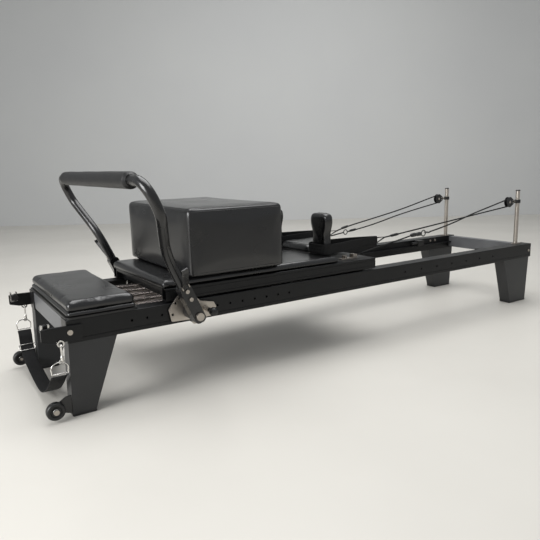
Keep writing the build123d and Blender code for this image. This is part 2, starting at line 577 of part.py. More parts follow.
# ---- head end -----------------------------------------------------------------------------------
def make_posts():
    """Riser posts on the head crossbeam, with their caps, pulley arms and carriage stops."""
    post = rod("Z", RAIL_TOP, POST_TOP, (POST_X, -POST_Y), POST_RADIUS)
    post -= rod("Z", RAIL_TOP + 6, POST_TOP + 1, (POST_X, -POST_Y), POST_RADIUS - 2)
    flange = block((POST_X - 17, POST_X + 17), (-POST_Y - 22, -POST_Y + 10), (RAIL_TOP, RAIL_TOP + 5))
    flange -= rod("Z", RAIL_TOP - 1, RAIL_TOP + 6, (POST_X, -POST_Y), POST_RADIUS)
    save("riser_posts", *both(post + flange))
    sheave_x, sheave_z = SHEAVE
    collar = rod("Z", sheave_z - 9, sheave_z + 9, (POST_X, -POST_Y), POST_RADIUS + 4)
    collar -= rod("Z", sheave_z - 10, sheave_z + 10, (POST_X, -POST_Y), POST_RADIUS)
    collar += block((sheave_x + SHEAVE_RADIUS + 20, POST_X - POST_RADIUS), (-POST_Y - 4, -POST_Y + 4),
                    (sheave_z - 5, sheave_z + 5)) - rod("Z", 0, 900, (POST_X, -POST_Y), POST_RADIUS)
    outline = RectangleRounded(SHEAVE_RADIUS * 2 + 18, 40, 19)
    cheek = extrude(Plane.XZ.offset(POST_Y + 6.3) * Pos(sheave_x + 8, sheave_z) * outline, 2.5)
    cheek += extrude(Plane.XZ.offset(POST_Y - 8.8) * Pos(sheave_x + 8, sheave_z) * outline, 2.5)
    cheek += block((sheave_x + SHEAVE_RADIUS + 8, sheave_x + SHEAVE_RADIUS + 20), (-POST_Y - 8.8, -POST_Y + 8.8),
                   (sheave_z - 8, sheave_z + 8))
    cheek -= rod("Y", -POST_Y - 10, -POST_Y + 10, SHEAVE, 4)
    axle = rod("Y", -POST_Y - 11, -POST_Y + 11, SHEAVE, 4)
    save("pulley_housings", *both(collar), *both(cheek), *both(axle))
    sheave = rod("Y", -POST_Y - 6, -POST_Y + 6, SHEAVE, SHEAVE_RADIUS - 4)
    groove = rod("Y", -POST_Y - 4.2, -POST_Y + 4.2, SHEAVE, SHEAVE_RADIUS) - rod(
        "Y", -POST_Y - 5, -POST_Y + 5, SHEAVE, 12.5)
    sheave -= groove
    sheave -= rod("Y", -POST_Y - 7, -POST_Y + 7, SHEAVE, 4.05)
    save("pulley_sheave_near", sheave)
    save("pulley_sheave_far", other_side(sheave))
    stop = block((STOP_X - 22, STOP_X + 22), (-219.5, -188), (LEDGE_TOP, 298))
    bumper = rod("X", AXLE_X[1] + 16 + TRAVEL + 1, STOP_X - 22, (-197, 286), 7)
    save("carriage_stops", *both(stop), *both(bumper))


TRAVEL = 750.0


# ---- ropes --------------------------------------------------------------------------------------
def make_ropes():
    """Two ropes from the hand straps over the pulleys, and the tails from their fittings to the cleats."""
    near = [(1397.5, -167, 409), (1421, -169, 411), (2168, -230, 497), (2229, -230, 502), (2229, -230, 542),
            (2166, -230, 529), (1979, -226, 491), (1904, -224, 474.5), (1759, -219, 437.5), (1636, -215, 417)]
    near_tail = [(1181, -215, 357), (1260, -215, 372), (1390, -214, 389), (1512, -214, 409.5)]
    save("rope_near", cord(near, ROPE_RADIUS, [90, 90, 19.5, 16.5, 90, 300, 300, 600]),
         cord(near_tail, ROPE_RADIUS))
    far = [(1397.5, 167, 409), (1445, 170, 422), (1678, 186, 454), (1901, 206, 485), (2166, 230, 535),
           (2229, 230, 545), (2229, 230, 502), (2168, 230, 493.5), (1902, 228, 454.5), (1751, 225, 424),
           (1621, 222, 402), (1514, 219, 391)]
    far_tail = [(1181, 215, 357), (1270, 215, 369), (1380, 216, 376), (1482, 217, 389)]
    save("rope_far", cord(far, ROPE_RADIUS, [90, 300, 300, 90, 19.5, 16.5, 90, 300, 600, 600]),
         cord(far_tail, ROPE_RADIUS))
    near_lock = rod("X", 1514, 1578, (-214, 412), 9) - rod("X", 1513, 1519, (-214, 410), 4)
    near_ring = Pos(1594, -214.5, 414) * Rot(90, 0, 0) * Torus(13, 2.4)
    near_link = Pos(1619, -215, 416) * Torus(11.5, 2.4)
    far_ring = Pos(1497, 218, 390) * Rot(90, 0, 0) * Torus(12, 2.4)
    save("rope_fittings", near_lock, near_ring, near_link, far_ring)


def main():
    os.makedirs("parts", exist_ok=True)
    for make in (make_frame, make_transport_wheels, make_platform, make_jumpboard_brackets, make_foot_strap,
                 make_springs, make_foot_bar_base, make_foot_bar, make_release_levers, make_carriage_parts,
                 make_sitting_box, make_hand_straps, make_posts, make_ropes):
        make()


main()
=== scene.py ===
"""Pilates reformer: upholstery, cords, springs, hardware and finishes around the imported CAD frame."""
import logging
import math
from dataclasses import dataclass
from enum import Enum
from typing import Iterable, Optional, Sequence

import bmesh
import bpy
import numpy as np
from mathutils import Matrix, Vector


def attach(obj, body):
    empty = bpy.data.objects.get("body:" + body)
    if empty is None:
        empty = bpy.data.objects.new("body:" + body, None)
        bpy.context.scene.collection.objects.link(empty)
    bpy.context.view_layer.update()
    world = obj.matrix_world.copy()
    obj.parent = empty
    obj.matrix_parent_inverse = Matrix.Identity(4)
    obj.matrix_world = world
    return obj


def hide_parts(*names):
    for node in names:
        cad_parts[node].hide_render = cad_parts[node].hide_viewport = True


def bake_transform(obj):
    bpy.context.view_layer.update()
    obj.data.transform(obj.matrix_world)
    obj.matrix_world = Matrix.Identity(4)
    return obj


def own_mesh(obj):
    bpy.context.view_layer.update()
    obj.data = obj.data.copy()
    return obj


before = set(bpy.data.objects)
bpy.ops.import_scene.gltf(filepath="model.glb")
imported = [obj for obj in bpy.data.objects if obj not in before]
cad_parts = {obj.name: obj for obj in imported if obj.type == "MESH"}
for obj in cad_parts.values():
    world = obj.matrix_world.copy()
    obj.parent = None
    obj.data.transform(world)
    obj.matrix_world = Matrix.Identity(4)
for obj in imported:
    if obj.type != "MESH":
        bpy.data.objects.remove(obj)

log = logging.getLogger("reformer")

MM = 0.001
CENTRE_X = 1135.25          # middle of the overall length, measured from the rails' foot end, in mm
SIDES = (-1, 1)             # near side and far side, as signs of y
SIDE_NAME = {-1: "near", 1: "far"}
POLE = 0.01                 # radius of a turned piece's end, in mm, so small that it reads as closed
DOUBLES = 2e-6              # points of one mesh nearer than this are one point, in metres


# ---- frame coordinates --------------------------------------------------------------------------
def at(x: float, y: float, z: float) -> np.ndarray:
    """A point in metres in the row frame, from millimetres with x measured from the foot end."""
    return np.array([(x - CENTRE_X) * MM, y * MM, z * MM])


def route(points: Iterable[Sequence[float]]) -> np.ndarray:
    """Points in metres in the row frame, from (x, y, z) in millimetres.

    Args:
        points: places with x measured from the foot end.
    Returns:
        An array of shape (n, 3).
    """
    return np.array([at(*p) for p in points])


# ---- node materials -----------------------------------------------------------------------------
def linear(hex_colour: str) -> tuple[float, float, float, float]:
    """A linear colour from an sRGB hex value.

    Args:
        hex_colour: six hex digits after a hash.
    Returns:
        Red, green, blue and alpha, for a colour socket.
    """
    channels = [int(hex_colour[i:i + 2], 16) / 255 for i in (1, 3, 5)]
    return (*[c / 12.92 if c <= 0.04045 else ((c + 0.055) / 1.055) ** 2.4 for c in channels], 1.0)


def add_node(tree: bpy.types.NodeTree, kind: str, inputs: Optional[dict] = None,
             **settings) -> bpy.types.Node:
    """Adds one node, with its settings, its input values and its links.

    Args:
        tree: the material's node tree.
        kind: the node's type name.
        inputs: input name or number, to a value, or to an output socket to link from.
        settings: the node's own attributes.
    Returns:
        The new node.
    """
    node = tree.nodes.new(kind)
    for name, value in settings.items():
        setattr(node, name, value)
    for name, value in (inputs or {}).items():
        if isinstance(value, bpy.types.NodeSocket):
            tree.links.new(value, node.inputs[name])
        else:
            node.inputs[name].default_value = value
    return node


class Pattern(Enum):
    """How a surface's fine relief was made."""
    PLAIN = "plain"
    COAT = "powder coat"
    BRUSHED = "brushed"
    LEATHER = "embossed grain"
    WOVEN = "woven"
    BRAIDED = "braided"
    FOAM = "foam skin"


DRIFT_BAND = (0.35, 0.7)        # noise values between which a colour turns to its second colour
GLOSS_BAND = (0.3, 0.75)        # noise values between which the roughness rises
GLOSS_SPREAD = (-0.04, 0.05)    # least and greatest change of roughness
COAT_ROUGHNESS = 0.18
CREASE_MM = 38.0                # size of a leather cover's slow creases
CREASE_HEIGHT = 1.6             # height of the creases against the pebble grain
GRAIN_EDGE = 0.25               # share of a pebble that its rounded edge takes up
BRUSH_STRETCH = 0.03            # a brushed line's width against its length


@dataclass(frozen=True)
class Finish:
    """A real surface finish, with its typical values and the size of its fine relief."""
    name: str
    colour: str                     # sRGB hex
    second: str                     # colour that the pattern drifts towards
    roughness: float
    metallic: float = 0.0
    pattern: Pattern = Pattern.PLAIN
    scale_mm: float = 2.0           # size of one cell of the relief
    relief_mm: float = 0.05
    drift_mm: float = 90.0          # size of slow changes of colour and gloss
    coat: float = 0.0
    specular: float = 0.5
    edge_mm: float = 0.9            # softness of sharp edges

    def material(self) -> bpy.types.Material:
        """The node material of this finish, made once."""
        found = bpy.data.materials.get(self.name)
        return found or self._build()

    def _build(self) -> bpy.types.Material:
        """Builds the shader: slow colour drift, gloss variation and the relief of the pattern.

        Returns:
            The new material.
        """
        made = bpy.data.materials.new(self.name)
        made.use_nodes = True
        tree = made.node_tree
        tree.nodes.clear()
        place = add_node(tree, "ShaderNodeTexCoord")
        out = add_node(tree, "ShaderNodeOutputMaterial")
        slow = add_node(tree, "ShaderNodeTexNoise", {
            "Vector": place.outputs["Object"], "Scale": 1 / (self.drift_mm * MM), "Detail": 4.0})
        height = self._relief(tree, place)
        blend = add_node(tree, "ShaderNodeMapRange", {
            "Value": slow.outputs["Fac"], "From Min": DRIFT_BAND[0], "From Max": DRIFT_BAND[1]})
        mix = add_node(tree, "ShaderNodeMix", {
            0: blend.outputs["Result"], 6: linear(self.colour), 7: linear(self.second)}, data_type="RGBA")
        gloss = add_node(tree, "ShaderNodeMapRange", {
            "Value": slow.outputs["Fac"], "From Min": GLOSS_BAND[0], "From Max": GLOSS_BAND[1],
            "To Min": self.roughness + GLOSS_SPREAD[0], "To Max": self.roughness + GLOSS_SPREAD[1]})
        shader = add_node(tree, "ShaderNodeBsdfPrincipled", {
            "Base Color": mix.outputs[2], "Roughness": gloss.outputs["Result"], "Metallic": self.metallic,
            "Coat Weight": self.coat, "Coat Roughness": COAT_ROUGHNESS, "Specular IOR Level": self.specular})
        edge = add_node(tree, "ShaderNodeBevel", {"Radius": self.edge_mm * MM}, samples=4)
        normal = edge.outputs["Normal"]
        if height is not None:
            normal = add_node(tree, "ShaderNodeBump", {
                "Height": height, "Distance": self.relief_mm * MM, "Normal": normal}).outputs["Normal"]
        tree.links.new(normal, shader.inputs["Normal"])
        tree.links.new(shader.outputs["BSDF"], out.inputs["Surface"])
        return made

    def _relief(self, tree: bpy.types.NodeTree, place: bpy.types.Node) -> Optional[bpy.types.NodeSocket]:
        """The height of the fine relief.

        Args:
            tree: the material's node tree.
            place: its Texture Coordinate node.
        Returns:
            The socket that gives the height, or nothing for a plain finish.
        """
        cell = 1 / (self.scale_mm * MM)
        spot = place.outputs["Object"]
        if self.pattern in (Pattern.COAT, Pattern.FOAM):
            return add_node(tree, "ShaderNodeTexNoise", {
                "Vector": spot, "Scale": cell, "Detail": 3.0}).outputs["Fac"]
        if self.pattern is Pattern.BRUSHED:
            stretch = add_node(tree, "ShaderNodeMapping", {
                "Vector": spot, "Scale": (BRUSH_STRETCH, 1.0, 1.0)})
            return add_node(tree, "ShaderNodeTexNoise", {
                "Vector": stretch.outputs["Vector"], "Scale": cell, "Detail": 2.0}).outputs["Fac"]
        if self.pattern is Pattern.LEATHER:
            cells = add_node(tree, "ShaderNodeTexVoronoi", {"Vector": spot, "Scale": cell},
                             feature="DISTANCE_TO_EDGE")
            creases = add_node(tree, "ShaderNodeTexNoise", {
                "Vector": spot, "Scale": 1 / (CREASE_MM * MM), "Detail": 5.0})
            pebble = add_node(tree, "ShaderNodeMapRange", {
                "Value": cells.outputs["Distance"], "From Max": GRAIN_EDGE})
            return add_node(tree, "ShaderNodeMath", {
                0: creases.outputs["Fac"], 1: CREASE_HEIGHT, 2: pebble.outputs["Result"]},
                operation="MULTIPLY_ADD").outputs[0]
        if self.pattern in (Pattern.WOVEN, Pattern.BRAIDED):
            turn = math.radians(45 if self.pattern is Pattern.BRAIDED else 0)
            laid = add_node(tree, "ShaderNodeMapping", {
                "Vector": place.outputs["UV"], "Rotation": (0, 0, turn)})
            # A wave texture has a period of pi / 10 of its unit, so this makes one wave a cell.
            waves = [add_node(tree, "ShaderNodeTexWave", {
                "Vector": laid.outputs["Vector"], "Scale": cell * math.pi / 10},
                bands_direction=way).outputs["Fac"] for way in ("X", "Y")]
            return add_node(tree, "ShaderNodeMath", {0: waves[0], 1: waves[1]},
                            operation="MULTIPLY").outputs[0]
        return None


# Anodised aluminium: a near-black dye under a clear satin skin, with faint drawing lines along the bar.
ANODISED = Finish("black_anodised_aluminium", "#08090a", "#0e0f10", roughness=0.36, pattern=Pattern.BRUSHED,
                  scale_mm=0.9, relief_mm=0.012, specular=0.3)
# Powder coat on steel: orange peel of one or two millimetres, semi-matt, so that flat faces read grey.
POWDER = Finish("graphite_powder_coat", "#212223", "#272829", roughness=0.42, pattern=Pattern.COAT,
                scale_mm=1.6, relief_mm=0.04)
# The same coat in gloss black: tubes and blocks show bright edges.
BLACK_POWDER = Finish("black_powder_coat", "#0c0c0d", "#131314", roughness=0.28, pattern=Pattern.COAT,
                      scale_mm=1.4, relief_mm=0.02, coat=0.2)
BEAM_GREY = Finish("grey_powder_coated_beam", "#57585a", "#616264", roughness=0.42, pattern=Pattern.COAT,
                   scale_mm=1.6, relief_mm=0.04)
# Brushed stainless sheet: warm grey with fine lines along its length, drawn coarser than they are.
STAINLESS = Finish("brushed_stainless_steel", "#bdb6ad", "#a39c94", roughness=0.34, metallic=1.0,
                   pattern=Pattern.BRUSHED, scale_mm=0.7, relief_mm=0.004)
# Bright nickel plate on wire: a clear reflection with almost no relief.
CHROME = Finish("nickel_plated_steel", "#d6d4d0", "#c4c2bf", roughness=0.14, metallic=1.0)
# Zinc-plated spring wire: duller and warmer than the plated hooks.
SPRING_STEEL = Finish("zinc_plated_spring_steel", "#a09894", "#857d79", roughness=0.25, metallic=1.0)
# Coated upholstery leather: pebble grain of just under 2 mm and slow creases under a soft gloss.
UPHOLSTERY = Finish("black_upholstery_leather", "#0a0a0b", "#101011", roughness=0.3, pattern=Pattern.LEATHER,
                    scale_mm=1.8, relief_mm=0.03, drift_mm=140, coat=0.35)
# The covers' sewn fold: the same leather, stretched, so without the clear gloss.
PIPING = Finish("black_welt_cord", "#0c0c0d", "#141415", roughness=0.4, pattern=Pattern.LEATHER,
                scale_mm=1.4, relief_mm=0.05)
# Moulded nylon: the fine spark texture of a mould.
PLASTIC = Finish("moulded_black_nylon", "#0d0d0e", "#151516", roughness=0.38, pattern=Pattern.COAT,
                 scale_mm=0.9, relief_mm=0.03)
# Moulded rubber: darker than the nylon, with a soft highlight.
RUBBER = Finish("black_rubber", "#0b0b0b", "#121212", roughness=0.42, pattern=Pattern.COAT,
                scale_mm=1.1, relief_mm=0.05)
# Closed-cell foam: a matt skin with cells of about 2 mm.
FOAM = Finish("closed_cell_foam", "#0f0f10", "#171718", roughness=0.5, pattern=Pattern.FOAM,
              scale_mm=2.2, relief_mm=0.1)
# Natural acetal: turned off-white rollers.
ROLLER = Finish("natural_acetal", "#b9b6ae", "#a9a69f", roughness=0.35)
# Plywood under a black laminate: the boards under the pads.
LAMINATE = Finish("black_laminated_plywood", "#121212", "#1a1917", roughness=0.45, pattern=Pattern.COAT,
                  scale_mm=1.2, relief_mm=0.03)
# Woven polyester: ribs of 1.6 mm, drawn coarser than the thread so that they show.
WEBBING = Finish("woven_polyester_webbing", "#0a0a0b", "#121213", roughness=0.68, pattern=Pattern.WOVEN,
                 scale_mm=1.6, relief_mm=0.3, specular=0.3)
# Braided polyester: strands cross at 45 degrees, 1.8 mm apart.
CORD = Finish("braided_polyester_cord", "#0a0a0a", "#121212", roughness=0.65, pattern=Pattern.BRAIDED,
              scale_mm=1.8, relief_mm=0.35, specular=0.3)
# The stage: pale painted floor with a dull reflection, and a matt wall.
FLOOR = Finish("pale_painted_concrete", "#cdcac3", "#c6c3bc", roughness=0.42, drift_mm=900, specular=0.35)
WALL = Finish("pale_grey_plaster", "#c3c4c3", "#bfc0c0", roughness=0.9, drift_mm=1500, specular=0.2)

NODE_FINISH = {
    ANODISED: ("side_rail_near", "side_rail_far", "carriage_sides", "carriage_cross_members",
               "jumpboard_brackets"),
    POWDER: ("legs",),
    BLACK_POWDER: ("wheel_brackets", "foot_bar_arms", "foot_bar_cross_tube", "arm_blocks", "foot_bar_tie",
                   "release_lever_near", "release_lever_far", "roller_brackets", "strap_triangles"),
    BEAM_GREY: ("crossbeams",),
    STAINLESS: ("sector_plates", "riser_posts", "base_hardware", "arm_fasteners", "headrest_prop",
                "spring_bar", "carriage_fittings", "lock_pin_near", "lock_pin_far", "frame_bolts"),
    CHROME: ("bracket_hardware",),
    PLASTIC: ("end_caps", "leg_shoes", "bracket_knob_near", "bracket_knob_far", "plunger_near", "plunger_far",
              "guide_shoes", "pivot_hubs", "pulley_sheave_near", "pulley_sheave_far"),
    ROLLER: ("front_running_rollers", "rear_running_rollers"),
    RUBBER: ("carriage_stops",),
    LAMINATE: ("platform_board", "carriage_deck", "headrest_board"),
    FOAM: ("foot_bar_grip",),
}


def dress_cad_nodes() -> None:
    """Gives every CAD node that stays visible the material of its real finish."""
    for finish, names in NODE_FINISH.items():
        for name in names:
            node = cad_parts[name]
            if not node.material_slots:
                node.data.materials.append(finish.material())
            for slot in node.material_slots:
                slot.material = finish.material()


# ---- surfaces -----------------------------------------------------------------------------------
def put(name: str, vertices: np.ndarray, faces: Sequence, finish: Finish,
        uv: Optional[np.ndarray] = None) -> bpy.types.Object:
    """Makes a smooth mesh object at the origin, with its doubles merged and its faces outwards.

    Args:
        name: the piece's name.
        vertices: places in metres, shape (n, 3).
        faces: vertex numbers of each face.
        finish: the surface finish.
        uv: a place on the surface in metres for each vertex, shape (n, 2).
    Returns:
        The new object, linked to the scene.
    """
    mesh = bpy.data.meshes.new(name)
    mesh.from_pydata(np.asarray(vertices).tolist(), [], [tuple(f) for f in faces])
    if uv is not None:
        corner = np.empty(len(mesh.loops), dtype=np.int32)
        mesh.loops.foreach_get("vertex_index", corner)
        mesh.uv_layers.new(name="surface").data.foreach_set("uv", uv[corner].astype(np.float32).ravel())
    shape = bmesh.new()
    shape.from_mesh(mesh)
    bmesh.ops.remove_doubles(shape, verts=shape.verts, dist=DOUBLES)
    bmesh.ops.recalc_face_normals(shape, faces=shape.faces)
    shape.to_mesh(mesh)
    shape.free()
    mesh.polygons.foreach_set("use_smooth", np.full(len(mesh.polygons), True))
    obj = bpy.data.objects.new(name, mesh)
    bpy.context.scene.collection.objects.link(obj)
    obj.data.materials.append(finish.material())
    return obj


def grid_faces(rows: int, columns: int, closed_rows: bool, closed_columns: bool) -> list:
    """Quads between neighbouring points of a grid that is numbered row by row.

    Args:
        rows: number of rows.
        columns: number of points in a row.
        closed_rows: whether the last row joins the first.
        closed_columns: whether each row's last point joins its first.
    Returns:
        Four vertex numbers for each face.
    """
    i = np.arange(rows if closed_rows else rows - 1)
    j = np.arange(columns if closed_columns else columns - 1)
    i, j = [a.ravel() for a in np.meshgrid(i, j, indexing="ij")]
    i_next, j_next = (i + 1) % rows, (j + 1) % columns
    return np.stack([i * columns + j, i * columns + j_next, i_next * columns + j_next,
                     i_next * columns + j], 1).tolist()


def sweep(path: np.ndarray, section: np.ndarray, reference: Sequence[float], closed: bool = False) -> tuple:
    """A closed section carried along a path: point = path + a * side + b * up, where side is square to both
    the path and the reference direction, and up completes the frame.

    Args:
        path: stations in metres, shape (n, 3).
        section: closed outline of (a, b) in metres, shape (m, 2).
        reference: a direction that the path never follows.
        closed: whether the path joins its own start.
    Returns:
        Vertices, faces and surface coordinates (along, around) in metres.
    """
    ahead = np.roll(path, -1, 0) - np.roll(path, 1, 0) if closed else np.gradient(path, axis=0)
    ahead = ahead / np.linalg.norm(ahead, axis=1)[:, None]
    side = np.cross(ahead, np.array(reference, float))
    side /= np.linalg.norm(side, axis=1)[:, None]
    up = np.cross(side, ahead)
    grid = path[:, None] + section[None, :, :1] * side[:, None] + section[None, :, 1:] * up[:, None]
    along = np.concatenate([[0], np.cumsum(np.linalg.norm(np.diff(path, axis=0), axis=1))])
    around = np.concatenate([[0], np.cumsum(np.linalg.norm(np.diff(section, axis=0), axis=1))])
    uv = np.stack(np.meshgrid(along, around, indexing="ij"), -1).reshape(-1, 2)
    rows, columns = len(path), len(section)
    faces = grid_faces(rows, columns, closed, True)
    if not closed:
        faces += [list(range(columns)), list(range((rows - 1) * columns, rows * columns))]
    return grid.reshape(-1, 3), faces, uv


def swept(name: str, path: np.ndarray, section: np.ndarray, reference: Sequence[float], finish: Finish,
          closed: bool = False) -> bpy.types.Object:
    """A piece with one section along a path."""
    vertices, faces, uv = sweep(path, section, reference, closed)
    return put(name, vertices, faces, finish, uv)


def lathed(name: str, centre: np.ndarray, axis: Sequence[float], profile: Iterable[Sequence[float]],
           finish: Finish, sides: int = 48) -> bpy.types.Object:
    """A turned piece: point = centre + t * axis + r * (cos u, sin u) across it.

    Args:
        name: the piece's name.
        centre: the profile's origin in metres.
        axis: direction of the turning axis.
        profile: (radius, place along the axis) in millimetres, from one end to the other.
        finish: the surface finish.
        sides: points round the axis.
    Returns:
        The new object.
    """
    t = np.array(profile, float)
    way = Vector(axis).normalized()
    across = np.array(way.orthogonal().normalized())
    other = np.cross(np.array(way), across)
    turn = np.linspace(0, 2 * math.pi, sides, endpoint=False)
    round_axis = np.cos(turn)[None, :, None] * across + np.sin(turn)[None, :, None] * other
    grid = centre + t[:, None, 1:] * MM * np.array(way) + t[:, :1, None] * MM * round_axis
    rows = len(t)
    faces = grid_faces(rows, sides, False, True)
    faces += [list(range(sides)), list(range((rows - 1) * sides, rows * sides))]
    station, radian = 2 * MM, 20 * MM       # length of skin that one of each is given in the map
    uv = np.stack(np.meshgrid(np.arange(rows) * station, turn * radian, indexing="ij"), -1).reshape(-1, 2)
    return put(name, grid.reshape(-1, 3), faces, finish, uv)


def rounded_profile(points: Iterable[Sequence[float]], radius: float, steps: int = 5) -> list:
    """A turning profile with each inner corner rounded by a quadratic blend of the given reach.

    Args:
        points: corners of (radius, place) in millimetres.
        radius: how far from a corner the blend starts.
        steps: points of each blend.
    Returns:
        The rounded profile.
    """
    corners = np.array(list(points), float)
    out = [corners[0]]
    s = np.linspace(0, 1, steps)[:, None]
    for before, corner, after in zip(corners[:-2], corners[1:-1], corners[2:]):
        back, ahead = before - corner, after - corner
        start = corner + back * min(0.5, radius / max(np.linalg.norm(back), 1e-6))
        end = corner + ahead * min(0.5, radius / max(np.linalg.norm(ahead), 1e-6))
        out += list((1 - s) ** 2 * start + 2 * s * (1 - s) * corner + s**2 * end)
    out.append(corners[-1])
    return out


def circle(radius_mm: float, sides: int = 12) -> np.ndarray:
    """A round section of (a, b) in metres."""
    turn = np.linspace(0, 2 * math.pi, sides, endpoint=False)
    return radius_mm * MM * np.stack([np.cos(turn), np.sin(turn)], 1)


def band(across_mm: float, thick_mm: float, sides: int = 24, power: float = 0.3) -> np.ndarray:
    """A flat section with soft edges, as a superellipse: a = A * cos^p, b = B * sin^p.

    Args:
        across_mm: full size along a.
        thick_mm: full size along b.
        sides: points round the section.
        power: p, smaller for squarer corners.
    Returns:
        The outline of (a, b) in metres.
    """
    turn = np.linspace(0, 2 * math.pi, sides, endpoint=False) + math.pi / sides
    a = np.sign(np.cos(turn)) * np.abs(np.cos(turn)) ** power
    b = np.sign(np.sin(turn)) * np.abs(np.sin(turn)) ** power
    return np.stack([a * across_mm / 2, b * thick_mm / 2], 1) * MM


def ring(name: str, centre: Sequence[float], axis: Sequence[float], radius: float, wire: float,
         finish: Finish) -> bpy.types.Object:
    """A wire ring: point = centre + radius * (cos u, sin u) across the axis, with a round section.

    Args:
        name: the piece's name.
        centre: (x, y, z) in millimetres, x from the foot end.
        axis: direction that the ring is round about.
        radius: radius of the wire's centre line, in mm.
        wire: radius of the wire, in mm.
        finish: the surface finish.
    Returns:
        The new object.
    """
    way = np.array(Vector(axis).normalized())
    across = np.array(Vector(way).orthogonal().normalized())
    turn = np.linspace(0, 2 * math.pi, 36, endpoint=False)[:, None]
    path = at(*centre) + radius * MM * (np.cos(turn) * across + np.sin(turn) * np.cross(way, across))
    return swept(name, path, circle(wire), way, finish, closed=True)


def filleted(corners: Sequence[Sequence[float]], radii: Sequence[float], closed: bool,
             step: float) -> np.ndarray:
    """A line through corners with each corner turned by a quadratic blend, resampled at an even spacing.

    Args:
        corners: points, of two or three numbers each.
        radii: how far from each corner its blend starts.
        closed: whether the line joins its start.
        step: spacing of the result.
    Returns:
        Points at that spacing.
    """
    points = np.array(corners, float)
    count = len(points)
    s = np.linspace(0, 1, 9)[:, None]
    line = []
    for k in range(count):
        if not closed and k in (0, count - 1):
            line.append(points[k][None])
            continue
        back, ahead = points[k - 1] - points[k], points[(k + 1) % count] - points[k]
        start = points[k] + back * min(0.5, radii[k] / np.linalg.norm(back))
        end = points[k] + ahead * min(0.5, radii[k] / np.linalg.norm(ahead))
        line.append((1 - s) ** 2 * start + 2 * s * (1 - s) * points[k] + s**2 * end)
    dense = np.concatenate(line + ([line[0][:1]] if closed else []))
    length = np.concatenate([[0], np.cumsum(np.linalg.norm(np.diff(dense, axis=0), axis=1))])
    wanted = np.linspace(0, length[-1], max(8, int(length[-1] / step)) + 1)
    even = np.stack([np.interp(wanted, length, dense[:, k]) for k in range(dense.shape[1])], 1)
    return even[:-1] if closed else even


def spline_points(name: str, control: np.ndarray) -> np.ndarray:
    """Points along the smooth cord line through its route.

    Args:
        name: name for the curve while it is read.
        control: the route's points in metres.
    Returns:
        Points of the cord's own NURBS spline, in order, in metres.
    """
    curve = bpy.data.curves.new(name, "CURVE")
    curve.dimensions = "3D"
    line = curve.splines.new("NURBS")
    line.points.add(len(control) - 1)
    line.points.foreach_set("co", np.column_stack([control, np.ones(len(control))]).ravel())
    line.order_u = 3
    line.use_endpoint_u = True
    line.resolution_u = 24
    carrier = bpy.data.objects.new(name, curve)
    bpy.context.scene.collection.objects.link(carrier)
    mesh = bpy.data.meshes.new_from_object(carrier)
    points = np.empty(len(mesh.vertices) * 3)
    mesh.vertices.foreach_get("co", points)
    bpy.data.objects.remove(carrier)
    bpy.data.meshes.remove(mesh)
    points = points.reshape(-1, 3)
    apart = np.concatenate([[True], np.linalg.norm(np.diff(points, axis=0), axis=1) > 1e-5])
    return points[apart]


def settle(piece: bpy.types.Object, body: str, nodes: Sequence[str] = ()) -> bpy.types.Object:
    """Puts a finished piece on its body and says which CAD nodes it stands for.

    Args:
        piece: the finished object.
        body: name of the moving body.
        nodes: CAD nodes that it replaces.
    Returns:
        The same piece.
    """
    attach(piece, body)
    if nodes:
        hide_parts(*nodes)
    log.info("%s rides on %s", piece.name, body)
    return piece


def stuffed(piece: bpy.types.Object) -> bpy.types.Object:
    """Hands a stuffed piece back as it is."""
    return piece


# ---- upholstery ---------------------------------------------------------------------------------
EDGE_STATIONS = 6           # stations of each round edge of a cover
OUTLINE_STEP = 5.0          # spacing of the points of a cover's outline, in mm
SEAM_STEP = 6.0             # spacing of the points of a seam, in mm
CLOTH_FRAMES = 20           # steps that a cover's cloth is given to come to rest


class Plane(Enum):
    """The two axes that an upholstered outline is drawn in, and the axis of its thickness."""
    PLAN = (0, 1, 2)
    UPRIGHT = (1, 2, 0)


